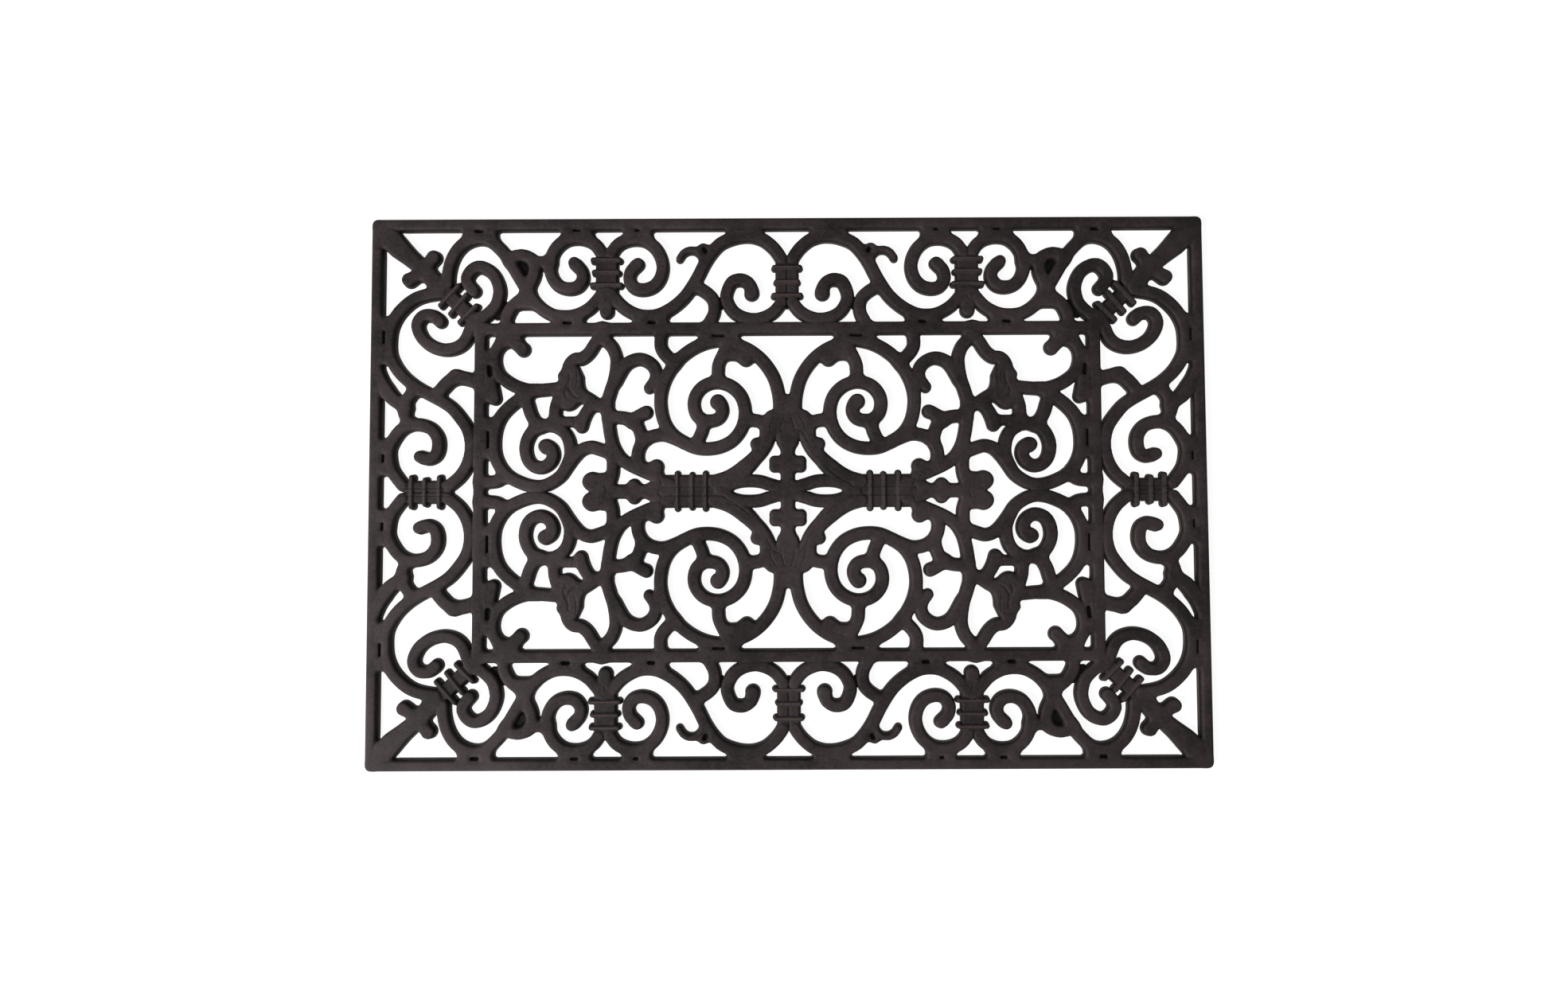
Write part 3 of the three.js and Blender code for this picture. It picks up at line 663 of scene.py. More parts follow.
@dataclass
class ArchScroll(Member):
    """The long scroll from the centre collar over to the palmette, with its branch and tendril."""

    name: str = "arch_scroll"
    tendril: float = 7.4
    bud_pit: float = 4.2

    def strokes(self) -> tuple[Stroke, ...]:
        """The arch, its branch, tendril and knob, and the plates and web with their slots.

        Returns:
            The strokes, in the order in which they are laid.
        """
        return (
            self.bar(
                (1.4, 56.7), (2.1, 57.9), (3.4, 59.5), (5.5, 61.2), (8, 62.1), (10.5, 62.2),
                (13, 61.7), (15.8, 60.5), (17.9, 58.4), (19.7, 55.7), (21.3, 52.5), (22.8, 49.9),
                (24.4, 47.6), (26.2, 45.8), (28.4, 44.2), (31, 43), (33.5, 42.7), (36, 43.1),
                (38.6, 44.4), (40.5, 46), (42.1, 48),
            ),
            self.bar(
                (22.2, 50.2), (19.3, 48.4), (17.8, 46.7), (17.4, 44.8), (17.7, 43), (18.6, 41.2),
                (19.5, 39.4),
            ),
            bar(
                self.tendril, (19.6, 55.8), (20.8, 57.6), (22, 58.6), (23.6, 58.7), (24.9, 58),
                (25.8, 56.7),
            ),
            knob((20.1, 58.9)),
            slot((19.8, 58.8), (19.5, 58.3), width=self.bud_pit),
            plate(1.06, (10.1, 62), (10.1, 64.8)),
            plate(1.02, (32.7, 40), (32.7, 43)),
            web(0.32, (15.4, 45.8), (17.2, 45.8)),
            crease((10.9, 63.8), (11, 63.8)),
            slot((31.8, 41), (32.9, 41)),
        )


@dataclass
class LongScroll(Member):
    """The link between the palmette and the corner, with its branch and lobe."""

    name: str = "long_scroll"

    def strokes(self) -> tuple[Stroke, ...]:
        """The corner arc, the branch, the link, the lobe, and the plates and webs with their slots.

        Returns:
            The strokes, in the order in which they are laid.
        """
        return (
            self.bar(
                (81.4, 50.9), (81.3, 53.2), (80.7, 56), (79.6, 58.4), (78, 60.3), (75.9, 61.5),
                (73.5, 61.9), (71.3, 61.3), (69.2, 59.5), (67.4, 57.3), (65.6, 54.3), (63.9, 51.4),
                (62.3, 48.8),
            ),
            self.bar(
                (61.9, 48.7), (64, 46.8), (65.7, 45.3), (66.8, 43.5), (67.3, 41.8), (67.3, 39.4),
            ),
            self.bar(
                (44.5, 48), (46, 46.1), (47.8, 44.4), (50.4, 43.1), (53.2, 42.7), (56.1, 43.1),
                (58.6, 44.4), (60.5, 46.2), (62.1, 48.5), (63, 50.2),
            ),
            self.bar(
                (67.1, 56.4), (65.3, 57.4), (63.3, 57.6), (61.5, 56.8), (60.6, 54.9), (60.8, 52.6),
                (62, 50),
            ),
            self.bar((56.6, 55.9), (60.4, 55.9)),
            web(0.12, (58.2, 55.6), (58.2, 53.7)),
            self.bar((60.8, 46), (63.6, 46)),
            plate(1.02, (73.8, 61.6), (73.8, 64.6)),
            plate(0.96, (52.5, 40), (52.5, 43)),
            web(0.4, (63.6, 56.6), (63, 51.6)),
            web(0.5, (66.8, 44.3), (70.4, 44.3)),
            slot((73.2, 63.4), (74.4, 63.4)),
            slot((51.9, 41), (53.2, 41)),
            slot((63.6, 55.2), (62.8, 54.6), (62.7, 53.9), width=PIT_WIDTH),
            slot((69.4, 41.7), (70.2, 41.7), width=PIT_WIDTH),
        )


@dataclass
class CornerCurls(Member):
    """The two curls that spring from the foot of a corner's collar."""

    name: str = "corner_curls"
    foot: float = 18.0

    def strokes(self) -> tuple[Stroke, ...]:
        """Both curls with their knobs, the web inside the upper one, and the knob at their foot.

        Returns:
            The strokes, in the order in which they are laid.
        """
        return (
            *self.curl(
                KNOB_WIDTH, (74.7, 41.8), (72.2, 43), (70, 45.2), (69.2, 47.5), (69.1, 49.5),
                (69.8, 51.7), (71, 53.5), (72.8, 54.7), (74.5, 54.8), (76, 53.7), (76.8, 52),
                (76.4, 50.6), (75.6, 49.5), (75.1, 49),
            ),
            *self.curl(
                KNOB_WIDTH, (74.4, 42.2), (75.6, 40.3), (76.9, 37.2), (78.4, 35.6), (80.5, 34.8),
                (82.7, 34.8), (85.1, 35.6), (87.1, 37.2), (88.3, 39.5), (88.3, 41.4), (87.1, 42.9),
                (85.3, 43.1), (84, 42.4), (83.2, 41.6),
            ),
            web(0.16, (76.4, 51.4), (78.6, 50.2)),
            knob((73.9, 40.9), self.foot),
        )


@dataclass
class SideScroll(Member):
    """The long scroll of an end border, from the corner to the side collar, and its frame leaf."""

    name: str = "side_scroll"

    def strokes(self) -> tuple[Stroke, ...]:
        """The scroll, the leaf that reaches the frame, and the plate to the rim with its slot.

        Returns:
            The strokes, in the order in which they are laid.
        """
        return (
            self.bar(
                (83, 48.6), (86.7, 48), (89.3, 47), (91.6, 45.2), (93.5, 42.9), (94.8, 40),
                (95.2, 36.8), (95, 33.6), (93.9, 31), (92.3, 28.7), (90.2, 26.7), (87.9, 25.1),
                (85.2, 23.6), (82.7, 22.2), (80.2, 20.4), (78, 17.8), (76.4, 15.3), (75.6, 12.5),
                (75.6, 9.4), (76.4, 6.5), (77.9, 4), (79.9, 2.1), (80.6, 1.7),
            ),
            self.bar(
                (73.4, 26.4, 1.15), (76, 27.4, 1.1), (78.4, 27.8, 1.1), (80.4, 27.2, 1.1),
                (82, 25.7, 1.1), (83.3, 24.1, 1.05), (84.2, 23.3),
            ),
            plate(1.4, (94.8, 36.9), (97.8, 36.9)),
            slot((96.2, 36.4), (96.2, 39), width=NARROW_SLOT_WIDTH),
            knob((79.3, 28.2), LOBE_WIDTH),
        )


@dataclass
class SideCurl(Member):
    """The curl beside the side collar, its neck up to the side scroll, and its rim leaf."""

    name: str = "side_curl"

    def strokes(self) -> tuple[Stroke, ...]:
        """The curl and knob, the neck, the leaf, and the plate to the rim with its slot.

        Returns:
            The strokes, in the order in which they are laid.
        """
        return (
            *self.curl(
                KNOB_WIDTH, (91.5, 1.6), (92.9, 3.4), (94.2, 5.5), (94.8, 8), (94.8, 10.6),
                (93.6, 13.2), (91.9, 15.3), (89.6, 16.4), (87.2, 16.3), (85, 15.3), (83.5, 13.3),
                (83.2, 11), (83.8, 9), (85.3, 8.1), (86.8, 8.3), (87.5, 8.6),
            ),
            self.bar((90.3, 16.8), (91.4, 19.3), (91.2, 21.5), (90.1, 23.4), (88.8, 25)),
            self.bar(
                (97.5, 29.4, 0.8), (96.9, 27.2, 1.05), (95.8, 25, 1.25), (94.2, 22.9, 1.2),
                (92.4, 21.4, 1.05), (90.8, 20.4),
            ),
            plate(1.06, (94.6, 8.5), (97.8, 8.5)),
            slot((96, 7.5), (96, 8.9), width=NARROW_SLOT_WIDTH),
        )


@dataclass
class Volute(Member):
    """The big double volute of the panel, with its tail and the short ties that hold it."""

    name: str = "volute"
    width: float = PANEL_SCROLL_WIDTH

    def strokes(self) -> tuple[Stroke, ...]:
        """The volute, its tail, five ties, and the plate to the frame with its slot.

        Returns:
            The strokes, in the order in which they are laid.
        """
        return (
            *self.curl(
                VOLUTE_KNOB_WIDTH, (1.9, 19.6), (1.9, 21.6), (2.2, 24), (3, 27), (4.4, 29.7),
                (6.4, 32.2), (8.9, 34.2), (11.8, 35.6), (14.5, 36.7), (17.5, 36.6), (20.5, 35.8),
                (23.5, 34.2), (26.3, 31.8), (28.3, 29), (29.7, 26), (30.4, 22.5), (30.1, 19),
                (29.2, 16.2), (27.5, 13.8), (25, 12), (22, 10.6), (19, 10.3), (16, 10.8),
                (13.2, 12.3), (11.2, 14.8), (10.2, 17.8), (10.3, 20.8), (11.3, 23.4), (13.3, 25.4),
                (15.8, 26.4), (18.3, 26.3), (20.5, 25.2), (22, 23.2), (22.4, 21), (21.8, 18.7),
                (20.2, 17.3), (18.2, 17.1), (16.5, 17.7), (15.6, 19.2), (15.8, 20.8), (16.7, 21.7),
            ),
            self.bar(
                (25.5, 12.2), (29, 13.6), (31.5, 13.6), (33.7, 12.7), (35.2, 11), (35.8, 8.7),
                (35.3, 6.5), (33.5, 5.4), (31.6, 5.8),
            ),
            knob((31.4, 5.9), VOLUTE_KNOB_WIDTH),
            self.bar((14, 36), (16.2, 31.6), (16.6, 29.5), (16.6, 27)),
            self.bar((19.9, 17), (20.5, 14.5), (21.6, 12)),
            self.bar((8.4, 33.4), (10, 32.6), (12.2, 33.3), (15, 33.4)),
            knob((9.9, 32.2), VOLUTE_KNOB_WIDTH),
            self.bar((2.6, 16.2), (5.2, 16.5), (7.4, 17.1), (10.2, 17.4)),
            self.bar((29.9, 40), (30.4, 36.3), (30, 34.5), (28.8, 32.9), (26.8, 31)),
            plate(1.2, (16.3, 36.7), (16.3, 39.4)),
            slot((15.2, 37.7), (17.7, 37.7), width=NARROW_SLOT_WIDTH),
        )


@dataclass
class Vine(Member):
    """The upright vine beside the volute, with its arch and hook."""

    name: str = "vine"
    width: float = PANEL_SCROLL_WIDTH

    def strokes(self) -> tuple[Stroke, ...]:
        """The vine, the arch with its knob, and the hook with its knob.

        Returns:
            The strokes, in the order in which they are laid.
        """
        return (
            self.bar(
                (44.3, 40), (43.4, 37), (41.9, 35), (41, 32.5), (41, 30), (41.5, 27), (42.3, 24.5),
                (43.1, 21.5), (43, 19), (42.7, 16), (42.2, 13), (41.4, 10.5), (39.8, 8),
                (37.5, 6.4), (35, 5.2), (32, 3.9), (30.8, 3.4),
            ),
            self.bar(
                (30.4, 24.6), (31.3, 28.3), (32.2, 30.5), (34, 31.9), (35.8, 32.2), (37.8, 31.5),
                (39.3, 30), (41, 26.9),
            ),
            self.bar((31.2, 27.6, 0.95), (33.1, 25.1, 0.85)),
            self.bar((43, 18.2), (40, 18), (38, 17.6), (36.5, 16.7), (35.6, 15.2), (34.6, 12)),
            self.bar((37.4, 16.8), (35.6, 18.3), (33.8, 19.1)),
            knob((33.8, 19.3)),
        )


@dataclass
class Leaf(Member):
    """The veined leaf that hangs from the frame, and the scroll that springs from it."""

    name: str = "leaf"
    width: float = PANEL_SCROLL_WIDTH
    blade: float = 22.0
    vein: float = 3.4
    pit: float = 4.6

    def strokes(self) -> tuple[Stroke, ...]:
        """The leaf, the scroll, its ties and plates, the pit, and the leaf's veins.

        Returns:
            The strokes, in the order in which they are laid.
        """
        return (
            bar(
                self.blade, (44, 38.8, 0.6), (45.95, 36.2, 0.6), (47.5, 33.8, 0.6),
                (49.1, 32.5, 0.62), (50.9, 32.1, 0.64), (52, 30.6, 0.7), (51.75, 28.9, 0.94),
                (51.75, 26.8, 1.1), (51.35, 24.6, 1.2), (52, 22.5, 1), (52.5, 21.7, 0.8),
            ),
            knob((53.45, 28)),
            knob((50.25, 27.6)),
            knob((49.85, 23)),
            knob((53.5, 22.7)),
            self.bar(
                (52.5, 25.4), (57, 24.9), (61, 24.7), (64, 25.3), (66.7, 26.6), (69, 28.6),
                (70, 31.3), (69.8, 34), (68.4, 36), (66.3, 36.7), (64.8, 35.9), (63.5, 34.9),
            ),
            knob((63.4, 34.7), LOBE_WIDTH),
            self.bar((43, 20.3), (45.5, 21.2), (48, 22.8), (51, 24.4)),
            self.bar((46.4, 21.4), (47.9, 19.4), (48.8, 17.6, 1.05), (49.3, 15.9, 1.05)),
            self.bar((71.2, 28.8), (70.6, 25.8), (70, 22.7)),
            plate(0.7, (70, 31.5), (73, 31.5)),
            plate(0.7, (70.4, 24.6), (73, 24.6)),
            plate(0.78, (66.6, 36.6), (66.6, 39.4)),
            slot((71.1, 30.2), (70.9, 28.4), width=self.pit),
            crease(
                (51.9, 28.4), (51.9, 26.9), (52.6, 25.3), (53, 23.9), (52.5, 22.7), width=self.vein,
            ),
            crease((52.3, 25.6), (51.4, 23.8), (50.2, 22.8), width=self.vein),
            crease((50.2, 29.4), (50, 27), (50.4, 25)),
        )


@dataclass
class SideVolute(Member):
    """The ring and spiral at an end of the panel."""

    name: str = "side_volute"
    width: float = PANEL_SCROLL_WIDTH
    thin_tie: float = 0.8 * PANEL_SCROLL_WIDTH

    def strokes(self) -> tuple[Stroke, ...]:
        """The ring, the spiral and its knob, four ties, and the plate to the frame with its slot.

        Returns:
            The strokes, in the order in which they are laid.
        """
        return (
            self.bar(
                (60.4, 24.8), (64.1, 22.5), (66.7, 20.4), (68.6, 18.1), (69.7, 15.3), (70.1, 12),
                (69.8, 8.9), (68.6, 6.1), (66.8, 3.9), (64.4, 2.5), (61.6, 1.5), (59, 1.3),
                (56.6, 2.1), (54.2, 3.8), (52.6, 6.1), (51, 8.3), (49.2, 10.1), (47.2, 10.8),
                (45.3, 10.4), (42.4, 9.3),
            ),
            self.bar(
                (52.6, 6.4), (51.8, 9), (52.1, 12), (53.2, 14.2), (55.1, 15.7), (57.4, 16.2),
                (59.9, 15.6), (61.7, 13.5), (62.5, 10.9), (62.1, 8.2), (60.8, 6.4), (58.7, 5.9),
                (56.8, 6.9), (55.9, 8.7), (56.3, 10.4), (57.7, 11.2),
            ),
            knob((57.7, 11), VOLUTE_KNOB_WIDTH),
            bar(self.thin_tie, (51, 17), (54.4, 17)),
            crease((50.6, 15), (50.9, 18)),
            self.bar((67.2, 4.2), (69, 2.8), (71, 2.4), (73.6, 2.4)),
            self.bar((63, 24), (62, 21), (61.4, 19), (60.5, 17.3), (59, 15.6)),
            self.bar((54, 24.5), (55.2, 21), (55.5, 19), (55.6, 16)),
            plate(1.2, (70, 13), (73, 13)),
            slot((71.3, 10.8), (71.3, 14.4), width=NARROW_SLOT_WIDTH),
        )


# The rim's bars are drawn 0.2 mm wider than RIM_WIDTH, all of it inwards
RIM = EdgeBar("rim", width=12.2, corner=(98.08, 65.08), grooves=(-EDGE_WAY,), stop=8.08)
INNER_FRAME = EdgeBar("inner_frame")

MEMBERS: tuple[Member, ...] = (
    RIM,
    replace(RIM, copies=Copies.ALONG),
    INNER_FRAME,
    replace(INNER_FRAME, copies=Copies.ALONG),
    CentreCross(),
    Spindle(),
    CentreCollar(),
    SideCollar(),
    CornerCollar(),
    Palmette(),
    ArchScroll(),
    LongScroll(),
    CornerCurls(),
    SideScroll(),
    SideCurl(),
    Volute(),
    Vine(),
    Leaf(),
    SideVolute(),
)


@dataclass(frozen=True)
class Spots:
    """Places on the grid: each lies in a cell, at a share of the cell's width and height."""

    rows: np.ndarray
    columns: np.ndarray
    across: np.ndarray
    up: np.ndarray

    def sample(self, values: np.ndarray) -> np.ndarray:
        """Reads a grid at the places, as the mean of the cell's four corners weighted by nearness.

        Args:
            values: the grid.

        Returns:
            One value for each place.
        """
        r, c = self.rows, self.columns
        r1, c1 = np.minimum(r + 1, values.shape[0] - 1), np.minimum(c + 1, values.shape[1] - 1)
        low = values[r, c] * (1 - self.across) + values[r, c1] * self.across
        high = values[r1, c] * (1 - self.across) + values[r1, c1] * self.across
        return low * (1 - self.up) + high * self.up


@dataclass(frozen=True)
class Facets:
    """A piece's top as faces: their corners one after another, and the chords of its outline."""

    corners: np.ndarray
    starts: np.ndarray
    counts: np.ndarray
    chord_starts: np.ndarray
    chord_ends: np.ndarray


@dataclass
class Relief:
    """The whole mat on one grid: each layer's distance, and the piece of each grid point.

    A piece's outline is followed through the grid's cells: where two corners of a cell belong to
    different pieces, or one to no piece, the line crosses the cell's side at the share where the
    distances say so. Where three or more meet in a cell, their lines meet in one junction in it.
    """

    members: tuple[Member, ...]
    heights: Heights = field(default_factory=Heights)
    slope_step: float = 0.3
    draft: float = 1.0
    draft_reach: float = 2.0
    diagonal_passes: int = 3
    xs: np.ndarray = field(init=False)
    ys: np.ndarray = field(init=False)
    layers: dict[Layer, np.ndarray] = field(init=False)
    outline: np.ndarray = field(init=False)
    labels: np.ndarray = field(init=False)
    nodes: list[str] = field(init=False)
    across: np.ndarray = field(init=False)
    up: np.ndarray = field(init=False)

    def __post_init__(self) -> None:
        """Lays every stroke on one quarter of the mat and unfolds the quarter into the whole."""
        xs = np.arange(CELL / 2, MAT_LENGTH / 2 + MARGIN, CELL)
        ys = np.arange(CELL / 2, MAT_WIDTH / 2 + MARGIN, CELL)
        far = np.full((len(ys), len(xs)), REACH)
        layers = {layer: far.copy() for layer in Layer}
        nearest, second, owner = far, far, np.zeros(far.shape, dtype=int)
        for index, member in enumerate(self.members):
            own = far.copy()
            for stroke in member.strokes():
                fresh = far.copy()
                window = stroke.lay(fresh, xs, ys)
                layer = layers[stroke.layer]
                layer[window] = blend_in(layer[window], fresh[window])
                if stroke.layer in SOLID_LAYERS:
                    own[window] = np.minimum(own[window], fresh[window])
            closer = own < nearest
            second = np.where(closer, nearest, np.minimum(second, own))
            owner = np.where(closer, index, owner)
            nearest = np.where(closer, own, nearest)
        self.layers = {layer: self.unfold(values) for layer, values in layers.items()}
        self.xs, self.ys = np.concatenate([-xs[::-1], xs]), np.concatenate([-ys[::-1], ys])
        self.outline = np.minimum.reduce([self.layers[layer] for layer in SOLID_LAYERS])
        self.label(self.unfold(owner))
        self.cross(self.unfold(owner), self.unfold(second - nearest))

    @staticmethod
    def unfold(quarter: np.ndarray) -> np.ndarray:
        """The whole mat's grid from one quarter's, mirrored in both axes."""
        half = np.concatenate([quarter[:, ::-1], quarter], axis=1)
        return np.concatenate([half[::-1], half], axis=0)

    def label(self, owner: np.ndarray) -> None:
        """Gives each grid point inside the outline the number of its piece, and the rest none.

        Args:
            owner: the number of the nearest member.
        """
        self.nodes = []
        self.labels = np.full(owner.shape, OUTSIDE)
        right, back = self.xs[None, :] > 0, self.ys[:, None] > 0
        for index, member in enumerate(self.members):
            for ending, side_x, side_y in member.copies.value:
                mask = (owner == index) & (self.outline < 0)
                if side_x:
                    mask &= right == (side_x > 0)
                if side_y:
                    mask &= back == (side_y > 0)
                self.labels[mask] = len(self.nodes)
                self.nodes.append(member.name + ending)
        for _ in range(self.diagonal_passes):
            self.part_diagonals()

    def part_diagonals(self) -> None:
        """Where two pieces cross in a cell corner to corner, gives one corner to the other one."""
        a, b = self.labels[:-1, :-1], self.labels[:-1, 1:]
        d, c = self.labels[1:, :-1], self.labels[1:, 1:]
        for first, last, side, other in ((a, c, b, d), (b, d, a, c)):
            crossed = (first == last) & (first != OUTSIDE) & (side != first) & (other != first)
            for corner in (side, other):
                mask = crossed & (corner != OUTSIDE)
                corner[mask] = first[mask]

    def cross(self, owner: np.ndarray, lead: np.ndarray) -> None:
        """Works out where along each side of each cell an outline or a seam crosses it.

        The share is p / (p + q), where p and q are the two ends' distances to the outline, or to
        the seam, and one half on the mat's own axes.

        Args:
            owner: the number of the nearest member.
            lead: how much nearer the nearest member is than the second.
        """

        def shares(first: tuple[slice, slice], last: tuple[slice, slice]) -> np.ndarray:
            """The crossing's share of the way from the first ends of the sides to the last ones.

            Args:
                first: the grid points at the sides' first ends.
                last: the grid points at their last ends.

            Returns:
                One share for each side.
            """
            edge = (self.labels[first] == OUTSIDE) | (self.labels[last] == OUTSIDE)
            mirrored = ~edge & (owner[first] == owner[last])
            p, q = (
                np.where(edge, np.abs(self.outline[end]), np.where(mirrored, 1.0, lead[end]))
                for end in (first, last)
            )
            return np.clip((p + TINY) / (p + q + 2 * TINY), LEAST_SHARE, 1 - LEAST_SHARE)

        whole, but_last, but_first = slice(None), slice(None, -1), slice(1, None)
        self.across = shares((whole, but_last), (whole, but_first))
        self.up = shares((but_last, whole), (but_first, whole))

    def cut(self, node: str) -> bpy.types.Object:
        """Makes one piece: its patch of the relief, its walls down to the floor and its flat sole.

        In each cell, the piece's part is one face. Its corners are, in turn, each corner of the
        cell that is the piece's own, each crossing of a side, and the junction if there is one.

        Args:
            node: the CAD node that the piece stands for.

        Returns:
            The piece, closed and with its faces outwards.
        """
        label = self.nodes.index(node)
        rows, columns = np.nonzero(self.labels == label)
        spans = [np.arange(along.min() - 1, along.max() + 2) for along in (rows, columns)]
        r, c = (index.ravel() for index in np.meshgrid(*spans, indexing="ij"))
        around = np.stack(self.corners_of(r, c), axis=1)
        used = (around == label).any(axis=1)
        around, r, c = around[used], r[used], c[used]
        inside = around == label
        following = np.roll(inside, -1, axis=1)
        junction = (np.diff(np.sort(around, axis=1), axis=1) != 0).sum(axis=1) >= 2
        turn = inside & ~following & junction[:, None]
        ids = self.ids_of(r, c)
        present = np.stack([inside, inside != following, turn], axis=2).reshape(len(r), -1)
        flat = ids.reshape(present.shape)[present]
        is_corner = np.tile([True, False, False] * 4, (len(r), 1))[present]
        counts = present.sum(axis=1)
        starts = np.concatenate([[0], np.cumsum(counts)[:-1]])
        after = np.arange(len(flat)) + 1
        after[starts + counts - 1] = starts
        keys, local = np.unique(flat, return_inverse=True)
        chord = ~is_corner & ~is_corner[after]
        facets = Facets(local, starts, counts, local[chord], local[after[chord]])
        return self.mesh_of(node, self.spots_of(keys), facets)

    def corners_of(self, r: np.ndarray, c: np.ndarray) -> list[np.ndarray]:
        """The pieces at each cell's four corners, around the cell from its first."""
        return [self.labels[r + up, c + right] for up, right in ((0, 0), (0, 1), (1, 1), (1, 0))]

    def ids_of(self, r: np.ndarray, c: np.ndarray) -> np.ndarray:
        """Numbers the possible places of each cell: four corners, the sides' crossings, a junction.

        Args:
            r: the cells' rows.
            c: the cells' columns.

        Returns:
            An array of cell by side by kind. A place that two cells share has one number: its
            cell's own, plus the grid's size once for a side along x, twice for one along y, and
            three times for a junction.
        """
        height, width = self.labels.shape
        size, cell = height * width, r * width + c
        corners = [cell, cell + 1, cell + width + 1, cell + width]
        sides = [size + cell, 2 * size + cell + 1, size + cell + width, 2 * size + cell]
        junction = 3 * size + cell
        kinds = [np.stack([*pair, junction], axis=1) for pair in zip(corners, sides)]
        return np.stack(kinds, axis=1)

    def spots_of(self, keys: np.ndarray) -> Spots:
        """Turns the numbers of places into places on the grid.

        Args:
            keys: the numbers.

        Returns:
            The places.
        """
        height, width = self.labels.shape
        kind, cell = keys // (height * width), keys % (height * width)
        rows, columns = cell // width, cell % width
        across = np.where(kind == 1, self.across[rows, np.minimum(columns, width - 2)], 0.0)
        up = np.where(kind == 2, self.up[np.minimum(rows, height - 2), columns], 0.0)
        junction = kind == 3
        across[junction], up[junction] = self.junctions(rows[junction], columns[junction])
        return Spots(rows, columns, across, up)

    def junctions(self, r: np.ndarray, c: np.ndarray) -> tuple[np.ndarray, np.ndarray]:
        """The place in a cell where three outlines or seams meet.

        It is the mean of the crossings of the mat's outline, or of all seams if there is none.

        Args:
            r: the cells' rows.
            c: the cells' columns.

        Returns:
            The shares of the cell's width and height.
        """
        first = np.stack(self.corners_of(r, c))
        last = np.roll(first, -1, axis=0)
        none, full = np.zeros(len(r)), np.ones(len(r))
        x = np.stack([self.across[r, c], full, self.across[r + 1, c], none])
        y = np.stack([none, self.up[r, c + 1], full, self.up[r, c]])
        seam = first != last
        edge = seam & ((first == OUTSIDE) | (last == OUTSIDE))
        weight = np.where(edge.any(axis=0), edge, seam).astype(float)
        total = weight.sum(axis=0)
        return (x * weight).sum(axis=0) / total, (y * weight).sum(axis=0) / total

    def surface(self, spots: Spots) -> tuple[np.ndarray, np.ndarray]:
        """The relief's height and normal at places on the grid.

        The slope is the difference of the heights of the distances moved a little way along their
        own slopes, in x and in y, over twice that way. The normal is (-slope x, -slope y, 1), made
        one long.

        Args:
            spots: the places.

        Returns:
            The heights in millimetres and the normals, one row each.
        """
        step = self.slope_step
        at = {layer: spots.sample(values) for layer, values in self.layers.items()}
        slopes = []
        for axis in (1, 0):
            way = {
                layer: spots.sample(np.gradient(values, CELL, axis=axis)) * step
                for layer, values in self.layers.items()
            }
            ahead = self.heights.of({layer: at[layer] + way[layer] for layer in at})
            behind = self.heights.of({layer: at[layer] - way[layer] for layer in at})
            slopes.append((ahead - behind) / (2 * step))
        normals = np.column_stack([-slopes[0], -slopes[1], np.ones(len(spots.rows))])
        return self.heights.of(at), normals / np.linalg.norm(normals, axis=1, keepdims=True)

    def lean(self, spots: Spots) -> np.ndarray:
        """How far the sole lies outside the top, which gives the walls their draft.

        The draft runs along the outline's slope, in full at the outline and fading away inside.

        Args:
            spots: the places.

        Returns:
            The way in x and y in millimetres, one row each.
        """
        share = np.clip(1 + spots.sample(self.outline) / self.draft_reach, 0, 1)
        slopes = [spots.sample(np.gradient(self.outline, CELL, axis=axis)) for axis in (1, 0)]
        return np.column_stack(slopes) * (self.draft * share)[:, None]

    def mesh_of(self, node: str, spots: Spots, facets: Facets) -> bpy.types.Object:
        """Puts a piece's top, sole and walls into a mesh.

        The top's faces are used again for the sole, turned over at height 0 and moved out by the
        draft. Each chord of the outline gets a wall of four corners between the two.

        Args:
            node: the CAD node that the piece stands for.
            spots: the top's vertices.
            facets: the top's faces and chords.

        Returns:
            The piece.
        """
        size, starts, counts = len(spots.rows), facets.starts, facets.counts
        height, normals = self.surface(spots)
        flat = np.column_stack([
            self.xs[spots.columns] + spots.across * CELL,
            self.ys[spots.rows] + spots.up * CELL,
        ])
        foot = np.column_stack([flat + self.lean(spots), np.zeros(size)])
        points = np.concatenate([np.column_stack([flat, height]), foot]) * MM
        top = facets.corners
        turned = np.repeat(2 * starts + counts - 1, counts) - np.arange(len(top))
        a, b = facets.chord_starts, facets.chord_ends
        walls = np.stack([a, a + size, b + size, b], axis=1).ravel()
        corners = np.concatenate([top, top[turned] + size, walls])
        wall_starts = 2 * len(top) + 4 * np.arange(len(a))
        loop_starts = np.concatenate([starts, starts + len(top), wall_starts])
        mesh = bpy.data.meshes.new(f"{node}_moulding")
        mesh.vertices.add(2 * size)
        mesh.vertices.foreach_set("co", points.ravel())
        mesh.loops.add(len(corners))
        mesh.loops.foreach_set("vertex_index", corners)
        mesh.polygons.add(len(loop_starts))
        mesh.polygons.foreach_set("loop_start", loop_starts)
        mesh.update(calc_edges=True)
        smooth = np.ones(len(loop_starts), dtype=bool)
        smooth[len(starts):2 * len(starts)] = False
        mesh.polygons.foreach_set("use_smooth", smooth)
        mesh.normals_split_custom_set_from_vertices(np.concatenate([normals, np.zeros((size, 3))]))
        return add_object(mesh)


def add_object(data: bpy.types.ID) -> bpy.types.Object:
    """Puts a mesh, a lamp or a camera into the scene as an object of the same name.

    Args:
        data: the mesh, lamp or camera.

    Returns:
        The object.
    """
    made = bpy.data.objects.new(data.name, data)
    bpy.context.scene.collection.objects.link(made)
    return made


